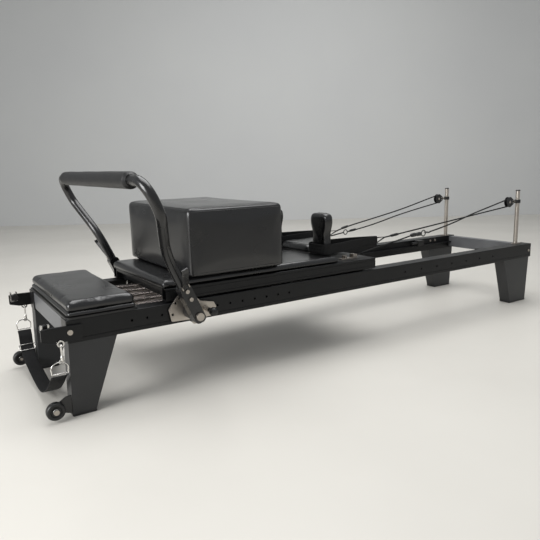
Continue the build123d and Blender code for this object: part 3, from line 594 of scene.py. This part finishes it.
@dataclass
class Cover:
    """A stuffed leather cover: an outline with round corners, drawn in one plane and carried through its
    thickness with round edges, then swelled as cloth by the pressure of its filling."""
    name: str
    corners: Sequence[Sequence[float]]      # outline in mm, in the plane's two axes
    radii: Sequence[float]
    low: float                              # start of the thickness, in mm
    high: float
    edge: float                             # radius of the round edges
    foot_edge: float = 3.0                  # radius of the edge at the low side
    plane: Plane = Plane.PLAN
    swell: float = 6.0                      # furthest that a point moves outwards, in mm
    pressure: float = 4.0
    voxel: float = 6.0
    shrink: float = 2.0                     # how much smaller than its space the cover starts
    held_low: bool = True                   # whether the low side lies flat on a board
    calm: int = 5                           # smoothing passes after the filling settles
    finish: Finish = UPHOLSTERY
    waist: Optional[Sequence[Sequence[float]]] = None   # (height, share of the thickness) pairs

    def profile(self) -> np.ndarray:
        """A quarter arc at each edge: inset = r * (1 - sin u), rise = r * (1 - cos u), and its mirror above.

        Returns:
            Pairs of (inset, thickness place) in mm, from the low side to the high side.
        """
        turn = np.linspace(0, math.pi / 2, EDGE_STATIONS)
        sine, cosine = np.sin(turn), np.cos(turn)
        bottom = np.stack([self.foot_edge * (1 - sine), self.low + self.foot_edge * (1 - cosine)], 1)
        top = np.stack([self.edge * (1 - cosine), self.high - self.shrink - self.edge * (1 - sine)], 1)
        return np.concatenate([bottom, top])

    def build(self) -> bpy.types.Object:
        """Makes the cover. Point = outline - inset * outward normal, at its place in the thickness.

        Returns:
            The finished cover.
        """
        outline = filleted(self.corners, self.radii, True, OUTLINE_STEP)
        following = np.roll(outline, -1, 0)
        ahead = following - np.roll(outline, 1, 0)
        area = np.sum(outline[:, 0] * following[:, 1] - outline[:, 1] * following[:, 0])
        outward = np.stack([ahead[:, 1], -ahead[:, 0]], 1) * np.sign(area)
        outward /= np.linalg.norm(outward, axis=1)[:, None]
        stations = self.profile()
        grid = np.zeros((len(stations), len(outline), 3))
        a, b, c = self.plane.value
        inset = stations[:, :1, None] + self.shrink
        grid[..., [a, b]] = outline[None] - inset * outward[None]
        grid[..., c] = stations[:, 1:]
        if self.waist is not None:
            heights, shares = np.array(self.waist).T
            middle = (self.low + self.high) / 2
            grid[..., c] = middle + (grid[..., c] - middle) * np.interp(grid[..., 2], heights, shares)
        points = at(0, 0, 0) + grid.reshape(-1, 3) * MM
        count = len(outline)
        faces = grid_faces(len(stations), count, False, True)
        faces += [list(range(count)), list(range(len(points) - count, len(points)))]
        piece = put(self.name, points, faces, self.finish)
        self.inflate(piece)
        return piece

    def inflate(self, piece: bpy.types.Object) -> None:
        """Remeshes the cover, swells it with the filling's pressure and smooths it.

        Args:
            piece: the closed shell of the cover.
        """
        bpy.context.view_layer.objects.active = piece
        cells = piece.modifiers.new("cells", "REMESH")
        cells.mode = "VOXEL"
        cells.voxel_size = self.voxel * MM
        bpy.ops.object.modifier_apply(modifier=cells.name)
        self.press(piece)
        for kind, settings in (("SMOOTH", {"factor": 0.5, "iterations": self.calm}),
                               ("SUBSURF", {"levels": 1, "render_levels": 1})):
            step = piece.modifiers.new(kind.lower(), kind)
            for key, value in settings.items():
                setattr(step, key, value)
            bpy.ops.object.modifier_apply(modifier=step.name)
        piece.data.polygons.foreach_set("use_smooth", np.full(len(piece.data.polygons), True))

    def press(self, piece: bpy.types.Object) -> None:
        """Runs the cloth with pressure inside, and writes its result with each move capped.

        Args:
            piece: the remeshed shell.
        """
        count = len(piece.data.vertices)
        start = np.empty(count * 3)
        piece.data.vertices.foreach_get("co", start)
        start = start.reshape(-1, 3)
        cloth = piece.modifiers.new("cover", "CLOTH")
        cloth.settings.use_pressure = True
        cloth.settings.uniform_pressure_force = self.pressure
        cloth.settings.effector_weights.gravity = 0
        for step in range(1, CLOTH_FRAMES + 1):
            bpy.context.scene.frame_set(step)
        shaped = piece.evaluated_get(bpy.context.evaluated_depsgraph_get()).data
        end = np.empty(count * 3)
        shaped.vertices.foreach_get("co", end)
        move = end.reshape(-1, 3) - start
        length = np.linalg.norm(move, axis=1)
        move *= np.minimum(1, self.swell * MM / np.maximum(length, 1e-9))[:, None]
        if self.held_low:
            c = self.plane.value[2]
            share = (start[:, c] - self.low * MM - at(0, 0, 0)[c]) / (2 * self.voxel * MM)
            move *= np.clip(share, 0, 1)[:, None]
        piece.modifiers.remove(cloth)
        bpy.context.scene.frame_set(1)
        piece.data.vertices.foreach_set("co", (start + move).ravel())
        piece.data.update()

    def seam(self, piece: bpy.types.Object, inset: float, level: float,
             width: float = 1.1) -> bpy.types.Object:
        """A sewn seam round the cover, laid on its skin.

        Args:
            piece: the finished cover.
            inset: how far inside the outline the seam is aimed, in mm.
            level: its place in the thickness, in mm.
            width: radius of the seam's raised fold, in mm.
        Returns:
            The seam as its own object.
        """
        outline = filleted(self.corners, self.radii, True, SEAM_STEP)
        middle = outline.mean(0)
        size = (outline.max(0) - outline.min(0)) / 2
        flat = middle + (outline - middle) * (1 - inset / size)
        line = np.zeros((len(flat), 3))
        a, b, c = self.plane.value
        line[:, [a, b]] = flat
        line[:, c] = level
        line = line * MM + at(0, 0, 0)
        skin = np.array([piece.closest_point_on_mesh(Vector(p))[1] for p in line])
        for _ in range(3):
            skin = (np.roll(skin, 1, 0) + 2 * skin + np.roll(skin, -1, 0)) / 4
        reference = [0.0, 0.0, 0.0]
        reference[c] = 1.0
        return swept(self.name + "_seam", skin, circle(width, 8), reference, PIPING, closed=True)


def rectangle(low_x: float, high_x: float, half_y: float) -> list:
    """Corners of a rectangle that is even about y = 0, in mm."""
    return [(low_x, -half_y), (high_x, -half_y), (high_x, half_y), (low_x, half_y)]


# ---- cords --------------------------------------------------------------------------------------
STRAP_END_X = 1397.5        # where the pull ropes meet the hand straps, in mm from the foot end
CLEAT_X = 1181              # where the ropes' tails meet the carriage
SHEAVE_X = 2186.0           # where a rope starts to go round its sheave


def flatten_to_pulley(piece: bpy.types.Object) -> None:
    """Gives a piece its own copy of its mesh.

    Args:
        piece: a run of rope, or a fitting on one.
    """
    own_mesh(piece)


@dataclass
class PullRope:
    """One side's pull rope: from the hand strap, over the pulley and back to the cleat, in braided cord."""
    side: int
    strap_run: Sequence[Sequence[float]]
    tail_run: Sequence[Sequence[float]]
    radius: float = 3.25

    def tube(self, name: str, line: np.ndarray) -> bpy.types.Object:
        """A round cord along a line of points, put on the frame.

        Args:
            name: the piece's name.
            line: points of the cord's spline in metres.
        Returns:
            The cord.
        """
        piece = swept(name, line, circle(self.radius, 12), (0, 1, 0), CORD)
        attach(piece, "frame")
        return piece

    def build(self) -> list[bpy.types.Object]:
        """Makes the strap run, the turn round the sheave, the return run and the tail to the cleat.

        Returns:
            The four pieces, in that order.
        """
        word = SIDE_NAME[self.side]
        line = spline_points("rope_line", route(self.strap_run))
        turn = at(SHEAVE_X, 0, 0)[0]
        beyond = np.flatnonzero(line[:, 0] > turn)
        first, last = beyond[0], beyond[-1]
        runs = [self.tube(f"rope_{word}_strap_run", line[:first + 1]),
                self.tube(f"rope_{word}_turn", line[first:last + 1]),
                self.tube(f"rope_{word}_return_run", line[last:]),
                self.tube(f"rope_{word}_tail", spline_points("tail_line", route(self.tail_run)))]
        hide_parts(f"rope_{word}")
        flatten_to_pulley(runs[0])
        flatten_to_pulley(runs[2])
        flatten_to_pulley(runs[3])
        return runs


ROPES = (
    PullRope(-1,
             [(STRAP_END_X, -167, 409), (1421, -169, 411), (2168, -230, 497), (2229, -230, 502),
              (2229, -230, 542), (2166, -230, 529), (1979, -226, 491), (1904, -224, 474.5),
              (1759, -219, 437.5), (1636, -215, 417)],
             [(CLEAT_X, -215, 357), (1260, -215, 372), (1390, -214, 389), (1512, -214, 409.5)]),
    PullRope(1,
             [(STRAP_END_X, 167, 409), (1445, 170, 422), (1678, 186, 454), (1901, 206, 485), (2166, 230, 535),
              (2229, 230, 545), (2229, 230, 502), (2168, 230, 493.5), (1902, 228, 454.5), (1751, 225, 424),
              (1621, 222, 402), (1514, 219, 391)],
             [(CLEAT_X, 215, 357), (1270, 215, 369), (1380, 216, 376), (1482, 217, 389)]),
)


@dataclass
class RopeFittings:
    """Black fittings that tie each pull rope to its tail: a lock barrel and links near, a ring far."""
    finish: Finish = BLACK_POWDER
    wire: float = 2.4               # radius of the rings' wire, in mm
    barrel: Sequence[Sequence[float]] = ((POLE, -32), (6, -32), (9, -28), (9, -6), (7.4, -4), (7.4, 4),
                                         (9, 6), (9, 28), (6, 32), (POLE, 32))
    sleeve: Sequence[Sequence[float]] = ((3.4, -22), (5.2, -21), (6.2, -12), (6.2, 14), (4.6, 22), (3.4, 23))
    sleeve_places: Sequence = (("near_strap", (1452, -172, 415), (0.99, -0.08, 0.11), STRAP_END_X),
                               ("far_strap", (1452, 170.4, 422.5), (0.99, 0.06, 0.17), STRAP_END_X),
                               ("far_return", (1548, 220, 396), (0.99, 0.03, 0.11), CLEAT_X))

    def build(self) -> None:
        """Makes the barrel with its ribs, the links and the far ring, on the frame."""
        barrel = rounded_profile(self.barrel, 1.5)
        parts = [
            lathed("rope_lock_barrel", at(1546, -214, 412), (1, 0, 0.03), barrel, self.finish),
            ring("rope_lock_ring", (1594, -214.5, 414), (0, 1, 0), 13, self.wire, self.finish),
            ring("rope_lock_link", (1619, -215, 416), (0, 0, 1), 11.5, self.wire, self.finish),
            ring("rope_far_ring", (1497, 218, 390), (0, 1, 0), 12, self.wire, self.finish)]
        for part in parts:
            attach(part, "frame")
            flatten_to_pulley(part)
        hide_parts("rope_fittings")
        self.sleeves()

    def sleeves(self) -> None:
        """Heat-shrunk sleeves over the cord's sewn eyes, at the strap ends and at the far return run."""
        profile = rounded_profile(self.sleeve, 2)
        for name, place, way, start in self.sleeve_places:
            part = lathed(f"rope_{name}_sleeve", at(*place), way, profile, RUBBER, 20)
            settle(part, "frame", ())
            flatten_to_pulley(part)


# ---- sub-assemblies -----------------------------------------------------------------------------
@dataclass
class Pulleys:
    """Black pulley blocks on the posts: two round cheeks, an axle boss, a swivel eye and a post clamp."""
    x: float = 2210.0
    y: float = 230.0
    z: float = 522.0
    post_x: float = 2287.0
    post_radius: float = 10.5
    cheek_y: float = 7.6            # from the sheave's middle plane to a cheek's
    cheek_radius: float = 26.5
    cheek_half: float = 1.3         # half a cheek's thickness
    yoke_y: float = 8.67            # from the middle plane to a yoke wire
    yoke_wire: float = 2.1
    yoke: Sequence[Sequence[float]] = ((4, 24), (34, 6), (34, -6), (4, -24))     # (x, z) from the axle
    boss: Sequence[Sequence[float]] = ((POLE, -11), (5, -11), (7, -9.5), (4, -9), (4, 9), (7, 9.5), (5, 11),
                                       (POLE, 11))
    swivel: Sequence[Sequence[float]] = ((POLE, 30), (5, 30), (6.2, 33), (6.2, 40), (4, 43), (4, 67))
    clamp_radius: float = 15.0
    clamp_half: float = 9.0

    def block(self, side: int) -> None:
        """One side's block, which holds still on its post.

        Args:
            side: the sign of y.
        """
        word, y = SIDE_NAME[side], side * self.y
        centre = at(self.x, y, self.z)
        flat, rim, half = self.cheek_radius - 1.5, self.cheek_radius, self.cheek_half
        for number, way in enumerate((-1, 1)):
            middle = way * self.cheek_y
            cheek = rounded_profile([(4.2, middle - half), (flat, middle - half), (rim, middle),
                                     (flat, middle + half), (4.2, middle + half)], 1.0)
            self.place(lathed(f"pulley_{word}_cheek_{number + 1}", centre, (0, 1, 0), cheek, PLASTIC, 56))
        boss = rounded_profile(self.boss, 0.8)
        self.place(lathed(f"pulley_{word}_axle", centre, (0, 1, 0), boss, STAINLESS, 24))
        strap = filleted([(self.x + a, self.z + b) for a, b in self.yoke], (4, 8, 8, 4), False, 2)
        for number, way in enumerate((-1, 1)):
            line = np.column_stack([strap[:, 0], np.full(len(strap), y + way * self.yoke_y), strap[:, 1]])
            self.place(swept(f"pulley_{word}_yoke_{number + 1}", line * MM + at(0, 0, 0),
                             circle(self.yoke_wire, 10), (0, 1, 0), BLACK_POWDER))
        swivel = rounded_profile(self.swivel, 1.2) + [(POLE, self.swivel[-1][1])]
        self.place(lathed(f"pulley_{word}_swivel", centre, (1, 0, 0), swivel, STAINLESS, 24))
        inner, outer, reach = self.post_radius, self.clamp_radius, self.clamp_half
        clamp = rounded_profile([(inner, -reach), (outer, -reach), (outer, reach), (inner, reach)], 1.6)
        self.place(lathed(f"pulley_{word}_clamp", at(self.post_x, y, self.z), (0, 0, 1), clamp + [clamp[0]],
                          PLASTIC, 40))

    @staticmethod
    def place(piece: bpy.types.Object) -> None:
        """Puts a piece of a block on the frame."""
        settle(piece, "frame", ("pulley_housings",))

    def build(self) -> None:
        """Makes both blocks."""
        for side in SIDES:
            self.block(side)


@dataclass
class StrapHardware:
    """Wire D-rings, snap hooks with their swivels, and the slide buckle of the foot strap."""
    strap_x: float = -31.0
    eye_x: float = -21.5
    y: float = 292.0
    swivel: Sequence[Sequence[float]] = ((POLE, -9), (3.4, -9), (4.6, -7), (4.6, 4), (3.2, 7), (POLE, 7))
    swivel_z: float = 194.5
    gate: Sequence[Sequence[float]] = ((POLE, -13), (1.5, -13), (1.5, 13), (POLE, 13))
    lower_eye_z: float = 183.8
    lower_eye_radius: float = 6.0
    bow_radii: Sequence[float] = (24.5, 20.0)       # of a D-ring's bow, across and up
    bow_z: float = 164.0
    bar_z: float = 148.2                            # of a D-ring's straight bar
    buckle_place: Sequence[float] = (261.3, 83.9)   # (y, z)
    buckle_tilt: float = 49.1                       # of the webbing at the buckle, in degrees
    buckle_half: Sequence[float] = (27.0, 11.5)     # half its size across and along the webbing

    @staticmethod
    def place(piece: bpy.types.Object, nodes: Sequence[str] = ()) -> None:
        """Puts a plated piece on the hanging strap."""
        settle(piece, "hanging_strap", nodes)

    def hook(self, side: int) -> None:
        """A snap hook: a pear-shaped wire loop in the eye, a gate, a swivel barrel and a lower loop.

        Args:
            side: the sign of y.
        """
        word, x, y = SIDE_NAME[side], self.eye_x, side * self.y
        pear = [(y - 4.5, 237), (y + 4.5, 237), (y + 8.2, 228),
                (y + 4.5, 199), (y - 4.5, 199), (y - 8.2, 228)]
        yz = filleted(pear, (5, 5, 9, 5, 5, 9), True, 2)
        loop = np.column_stack([np.full(len(yz), x), yz]) * MM + at(0, 0, 0)
        self.place(swept(f"snap_hook_{word}_loop", loop, circle(1.7, 10), (1, 0, 0), CHROME, True),
                   ("strap_hardware",))
        barrel = rounded_profile(self.swivel, 1.0)
        self.place(lathed(f"snap_hook_{word}_swivel", at(x, y, self.swivel_z), (0, 0, 1), barrel, CHROME, 24))
        gate = rounded_profile(self.gate, 0.6)
        self.place(lathed(f"snap_hook_{word}_gate", at(x, y - side * 5.4, 215), (0, 0.16 * side, 1), gate,
                          CHROME, 12))
        turn = np.linspace(0, 2 * math.pi, 28, endpoint=False)
        spokes = np.column_stack([np.cos(turn), np.zeros(len(turn)), np.sin(turn)])
        eye = at(x - 2, y, self.lower_eye_z) + self.lower_eye_radius * spokes * MM
        self.place(swept(f"snap_hook_{word}_eye", eye, circle(1.6, 8), (0, 1, 0), CHROME, True))

    def d_ring(self, side: int) -> None:
        """A D-ring: a straight bar that holds the webbing, and a round bow above it, as one bent wire.

        Args:
            side: the sign of y.
        """
        word, y = SIDE_NAME[side], side * self.y
        turn = np.linspace(math.radians(-20), math.radians(200), 30)
        across, up = self.bow_radii
        bow = np.column_stack([self.strap_x + across * np.cos(turn), self.bow_z + up * np.sin(turn)])
        bar = [[self.strap_x - 24, self.bar_z], [self.strap_x + 24, self.bar_z]]
        xz = filleted(np.vstack([bow, bar]), [2] * len(bow) + [5, 5], True, 2)
        line = np.column_stack([xz[:, 0], np.full(len(xz), y), xz[:, 1]]) * MM + at(0, 0, 0)
        self.place(swept(f"strap_d_ring_{word}", line, circle(2.0, 10), (0, 1, 0), CHROME, True))

    def buckle(self) -> None:
        """The slide buckle: a rectangular wire frame on the strap's inner face."""
        tilt = math.radians(self.buckle_tilt)
        along = np.array([0, math.cos(tilt), math.sin(tilt)])
        a, b = self.buckle_half
        flat = filleted([(-a, -b), (a, -b), (a, b), (-a, b)], (4, 4, 4, 4), True, 2)
        centre = at(self.strap_x, *self.buckle_place)
        line = centre + (flat[:, :1] * np.array([1.0, 0, 0]) + flat[:, 1:] * along) * MM
        reference = np.cross([1.0, 0, 0], along)
        self.place(swept("strap_slide_buckle", line, circle(1.7, 8), reference, CHROME, True))

    def build(self) -> None:
        """Makes both ends' hardware and the buckle."""
        for side in SIDES:
            self.hook(side)
            self.d_ring(side)
        self.buckle()


@dataclass
class Springs:
    """Five close-wound extension springs between the spring bar and the carriage."""
    places: Sequence[float] = (-160, -80, 0, 80, 160)
    start: float = 256.0
    end: float = 694.0
    height: float = 278.0
    coil: float = 12.2          # radius of the wire's centre line
    wire: float = 1.75
    pitch: float = 4.4

    def build(self) -> None:
        """Point = axis + coil * (cos u, sin u), one pitch further along for each turn, as one wire each."""
        turns = (self.end - self.start - 2 * self.wire) / self.pitch
        u = np.linspace(0, 2 * math.pi * turns, int(turns * 14))
        for number, y in enumerate(self.places):
            line = np.column_stack([self.start + self.wire + self.pitch * u / (2 * math.pi),
                                    y + self.coil * np.cos(u), self.height + self.coil * np.sin(u)])
            wire = swept(f"spring_{number + 1}", line * MM + at(0, 0, 0), circle(self.wire, 6), (1, 0, 0),
                         SPRING_STEEL)
            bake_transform(wire)
            if number == 0:
                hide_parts("springs")
            log.info("%s blends from frame to carriage", wire.name)


@dataclass
class FootEnd:
    """The standing platform pad, the transport wheels and the hanging webbing strap."""
    strap_x: float = -31.0
    strap_route: Sequence[Sequence[float]] = ((296, 142), (282, 130), (276, 96), (250, 66), (206, 47),
                                              (103, 30), (0, 18), (-80, 22), (-160, 56), (-230, 100),
                                              (-270, 134), (-296, 142))       # (y, z)
    strap_radii: Sequence[float] = (6, 6, 10, 16, 28, 60, 120, 90, 90, 90, 30, 6)
    strap_thick: float = 2.6
    strap_width: float = 46.0
    wheel_place: Sequence[float] = (-54.0, 290.0, 37.0)
    tyre: Sequence[Sequence[float]] = ((6, -7), (15, -7), (17, -11.5), (24, -11.5), (27.3, -7), (27.3, 7),
                                       (24, 11.5), (17, 11.5), (15, 7), (6, 7))
    hub: Sequence[Sequence[float]] = ((POLE, -9.5), (7, -9.5), (9.2, -7.5), (9.2, 7.5), (7, 9.5), (POLE, 9.5))

    def pad(self) -> None:
        """The leather platform pad with its lower band and sewn roll."""
        cover = Cover("platform_cushion", rectangle(3, 221, 279), (20, 20, 20, 20), 320.5, 349.5, 13, 7,
                      voxel=4.5, swell=6, held_low=False)
        settle(stuffed(cover.build()), "frame", ("platform_pad",))
        band_cover = Cover("platform_base_band", rectangle(3.5, 220.5, 278.5), (16, 16, 16, 16), 306.2, 322,
                           5, voxel=4.5, swell=2, pressure=2)
        settle(stuffed(band_cover.build()), "frame", ())

    def strap(self) -> None:
        """The webbing, swept with its flat section along its hanging route."""
        yz = filleted(self.strap_route, self.strap_radii, False, 6)
        line = np.column_stack([np.full(len(yz), self.strap_x), yz]) * MM + at(0, 0, 0)
        piece = swept("foot_strap_webbing", line, band(self.strap_thick, self.strap_width), (1, 0, 0),
                      WEBBING)
        settle(piece, "hanging_strap", ("foot_strap",))

    def wheel(self, side: int) -> None:
        """A transport wheel: rubber tyre with a raised rim, and a silver hub bolt.

        Args:
            side: the sign of y.
        """
        word = SIDE_NAME[side]
        x, y, z = self.wheel_place
        centre = at(x, side * y, z)
        body = f"transport_wheel_{word}"
        tyre = rounded_profile(self.tyre, 2.2)
        settle(lathed(f"wheel_{word}", centre, (0, 1, 0), tyre, RUBBER, 64), body, (body,))
        hub = rounded_profile(self.hub, 1.2)
        settle(lathed(f"wheel_{word}_hub", centre, (0, 1, 0), hub, CHROME), body, ())

    def build(self) -> None:
        """Makes every piece of the foot end."""
        self.pad()
        self.strap()
        for side in SIDES:
            self.wheel(side)


@dataclass
class FootBarGrip:
    """The thick foam sleeve on the foot bar's cross tube."""
    x: float = 193.1
    z: float = 701.9
    half: float = 380.0         # half its length
    radius: float = 26.0
    bore: float = 17.2
    end_round: float = 9.0      # radius of its soft ends
    wave: float = 0.25          # height of its slow waves
    wave_mm: float = 37.0       # length of a radian of a wave

    def build(self) -> None:
        """A turned sleeve with soft ends and slow, shallow waves along it, as foam keeps."""
        t = np.linspace(-self.half, self.half, 120)
        end = np.clip((self.half - np.abs(t)) / self.end_round, 0, 1)
        radius = (self.radius - self.end_round * (1 - np.sqrt(1 - (1 - end) ** 2))
                  + self.wave * np.sin(t / self.wave_mm) - self.wave)
        profile = [(self.bore, -self.half), *np.stack([radius, t], 1), (self.bore, self.half)]
        sleeve = lathed("foot_bar_foam_grip", at(self.x, 0, self.z), (0, 1, 0), profile, FOAM, 56)
        settle(stuffed(sleeve), "foot_bar", ("foot_bar_grip",))


@dataclass
class CarriageTop:
    """The carriage's upholstery, shoulder rests, headrest and hand straps."""
    strap_outline: Sequence[Sequence[float]] = ((1003, -236), (1070, -236), (1346, -172), (1346, -162),
                                                (1070, -114), (1003, -114))
    strap_radii: Sequence[float] = (30, 40, 5, 5, 40, 30)
    strap_z: float = 399.0
    pad_outline: Sequence[Sequence[float]] = ((309, -266), (1060, -266), (1060, -117), (1008, -117),
                                              (1008, 117), (1060, 117), (1060, 266), (309, 266))
    pad_radii: Sequence[float] = (14, 14, 10, 8, 8, 10, 14, 14)
    rest_y: float = 175.0
    rest_half: Sequence[Sequence[float]] = ((53, 374.8), (51, 420), (48, 462), (57, 496), (57, 528),
                                            (44, 545.5))        # (half width, z) of a shoulder rest
    rest_radii: Sequence[float] = (8, 30, 26, 16, 16, 14)
    rest_waist: Sequence[Sequence[float]] = ((374, 0.84), (455, 0.8), (500, 1.0), (550, 1.0))

    def pads(self) -> None:
        """The long pad with its neck notch, and the headrest cushion."""
        cover = Cover("carriage_cushion", self.pad_outline, self.pad_radii, 347.2, 374, 11, voxel=6, swell=2,
                      pressure=2, calm=10)
        settle(stuffed(cover.build()), "carriage", ("carriage_pad",))
        head = Cover("headrest_cushion", rectangle(1012, 1235, 108), (24, 24, 24, 24), 374.7, 401, 12,
                     voxel=4.5, swell=5)
        piece = head.build()
        settle(stuffed(piece), "headrest", ("headrest_pad",))
        settle(head.seam(piece, 0, 386), "headrest", ())

    def shoulder_rest(self, side: int) -> None:
        """An upright rest with a waist under its rounded head.

        Args:
            side: the sign of y.
        """
        word = SIDE_NAME[side]
        y = side * self.rest_y
        corners = [(y + a, b) for a, b in self.rest_half] + [(y - a, b) for a, b in reversed(self.rest_half)]
        radii = (*self.rest_radii, *reversed(self.rest_radii))
        cover = Cover(f"shoulder_rest_{word}_cushion", corners, radii, 1016.5, 1055.5, 9, 9, Plane.UPRIGHT,
                      voxel=4.5, swell=3, held_low=False, shrink=1.5, waist=self.rest_waist)
        piece = cover.build()
        body = f"shoulder_rest_{word}"
        settle(stuffed(piece), body, (body,))
        settle(cover.seam(piece, 0, 1044), body, ())

    def straps(self) -> None:
        """The two hand loops of webbing, which stand on edge round the shoulder rests and rise by
        3 * sin(x / 110) along their length."""
        parts = []
        for side in SIDES:
            corners = [(x, -side * y) for x, y in self.strap_outline]
            plan = filleted(corners, self.strap_radii, True, 6)
            lift = self.strap_z + 3 * np.sin((plan[:, 0] - self.strap_outline[0][0]) / 110)
            line = np.column_stack([plan, lift]) * MM + at(0, 0, 0)
            parts.append(swept(f"hand_strap_{SIDE_NAME[side]}", line, band(3.2, 40), (0, 0, 1), WEBBING,
                               True))
        for part, nodes in zip(parts, (("hand_straps",), ())):
            settle(part, "carriage", nodes)

    def build(self) -> None:
        """Makes every soft piece of the carriage."""
        self.pads()
        for side in SIDES:
            self.shoulder_rest(side)
        self.straps()


@dataclass
class SittingBox:
    """The upholstered box that stands on the carriage."""
    low_x: float = 396.0
    high_x: float = 775.0
    half_y: float = 296.0
    floor: float = 374.4
    top: float = 607.0

    def build(self) -> None:
        """A tight leather cover with crowned panels, and seams round its top and foot."""
        cover = Cover("sitting_box_cover", rectangle(self.low_x, self.high_x, self.half_y), (20, 20, 20, 20),
                      self.floor, self.top, 13, voxel=7, swell=2.6, pressure=2, foot_edge=8, shrink=2.5,
                      calm=14)
        piece = cover.build()
        settle(stuffed(piece), "sitting_box", ("sitting_box",))
        for inset, level in ((9, self.top), (0, self.top - 14), (0, self.floor + 12)):
            settle(cover.seam(piece, inset, level), "sitting_box", ())


@dataclass
class Studio:
    """The camera, a pale floor, a plain wall and soft lights."""
    place: Sequence[float] = (-342.8, -1937.0, 735.3)
    yaw: float = 55.77
    pitch: float = -10.78
    roll: float = -1.29
    lens: float = 36.836
    shift: float = -0.0296
    sensor: float = 36.0
    sight: float = 60.0             # furthest distance that the camera draws, in metres
    wall_distance: float = 7.5      # from the camera, in metres, as are the next three
    half_width: float = 12.0
    floor_behind: float = 6.0
    wall_height: float = 7.0
    lights: Sequence = (            # name, place and size in metres, power in watts, aim
        ("ceiling_light", (0.3, 0.5, 3.8), 3.4, 150, (0.1, 0.1, 0)),
        ("window_light", (-3.8, -0.6, 1.5), 1.6, 105, (0, 0, 0.3)),
        ("wall_wash", (1.8, 2.6, 3.2), 3.0, 14, (3.0, 5.2, 0.6)))
    sky: str = "#eceef0"
    sky_strength: float = 0.55

    def camera(self) -> None:
        """Aims the camera from its yaw, pitch and roll."""
        yaw, pitch, roll = (math.radians(v) for v in (self.yaw, self.pitch, self.roll))
        forward = Vector((math.cos(pitch) * math.cos(yaw), math.cos(pitch) * math.sin(yaw), math.sin(pitch)))
        level = forward.cross(Vector((0, 0, 1))).normalized()
        above = level.cross(forward)
        right = math.cos(roll) * level + math.sin(roll) * above
        up = -math.sin(roll) * level + math.cos(roll) * above
        data = bpy.data.cameras.new("camera")
        data.lens = self.lens
        data.sensor_width = self.sensor
        data.shift_x = self.shift
        data.clip_end = self.sight
        obj = bpy.data.objects.new("camera", data)
        obj.matrix_world = Matrix.Translation(Vector(at(*self.place))) @ Matrix(
            (right, up, -forward)).transposed().to_4x4()
        bpy.context.scene.collection.objects.link(obj)
        bpy.context.scene.camera = obj

    def sweep(self) -> None:
        """The floor and the wall behind, as two planes."""
        yaw = math.radians(self.yaw)
        forward = np.array([math.cos(yaw), math.sin(yaw), 0])
        right = np.array([math.sin(yaw), -math.cos(yaw), 0])
        foot = at(*self.place) * np.array([1, 1, 0])
        far = foot + forward * self.wall_distance
        near = foot - forward * self.floor_behind
        reach, rise = right * self.half_width, np.array([0, 0, self.wall_height])
        for name, corners, finish in (
                ("floor", [near - reach, near + reach, far + reach, far - reach], FLOOR),
                ("wall", [far - reach, far + reach, far + reach + rise, far - reach + rise], WALL)):
            put(name, np.array(corners), [(0, 1, 2, 3)], finish)

    def light(self, name: str, place: Sequence[float], size: float, power: float,
              aim: Sequence[float]) -> None:
        """One soft square light, turned to its aim.

        Args:
            name: the light's name.
            place: its middle in metres.
            size: its side in metres.
            power: in watts.
            aim: the point that it faces, in metres.
        """
        data = bpy.data.lights.new(name, "AREA")
        data.energy = power
        data.size = size
        obj = bpy.data.objects.new(name, data)
        obj.matrix_world = (Matrix.Translation(Vector(place))
                            @ (Vector(aim) - Vector(place)).to_track_quat("-Z", "Y").to_matrix().to_4x4())
        bpy.context.scene.collection.objects.link(obj)

    def build(self) -> None:
        """Sets the camera, the stage and the lights."""
        self.camera()
        self.sweep()
        for light in self.lights:
            self.light(*light)
        bpy.context.scene.view_settings.view_transform = "Standard"
        world = bpy.data.worlds.new("soft_room")
        world.use_nodes = True
        background = world.node_tree.nodes["Background"]
        background.inputs["Color"].default_value = linear(self.sky)
        background.inputs["Strength"].default_value = self.sky_strength
        bpy.context.scene.world = world


def main() -> None:
    """Builds every sub-assembly in order."""
    logging.basicConfig(level=logging.INFO, format="%(name)s: %(message)s")
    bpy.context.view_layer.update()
    Studio().build()
    for rope in ROPES:
        rope.build()
    RopeFittings().build()
    dress_cad_nodes()
    Pulleys().build()
    StrapHardware().build()
    Springs().build()
    FootEnd().build()
    FootBarGrip().build()
    CarriageTop().build()
    SittingBox().build()


if __name__ == "__main__":
    main()
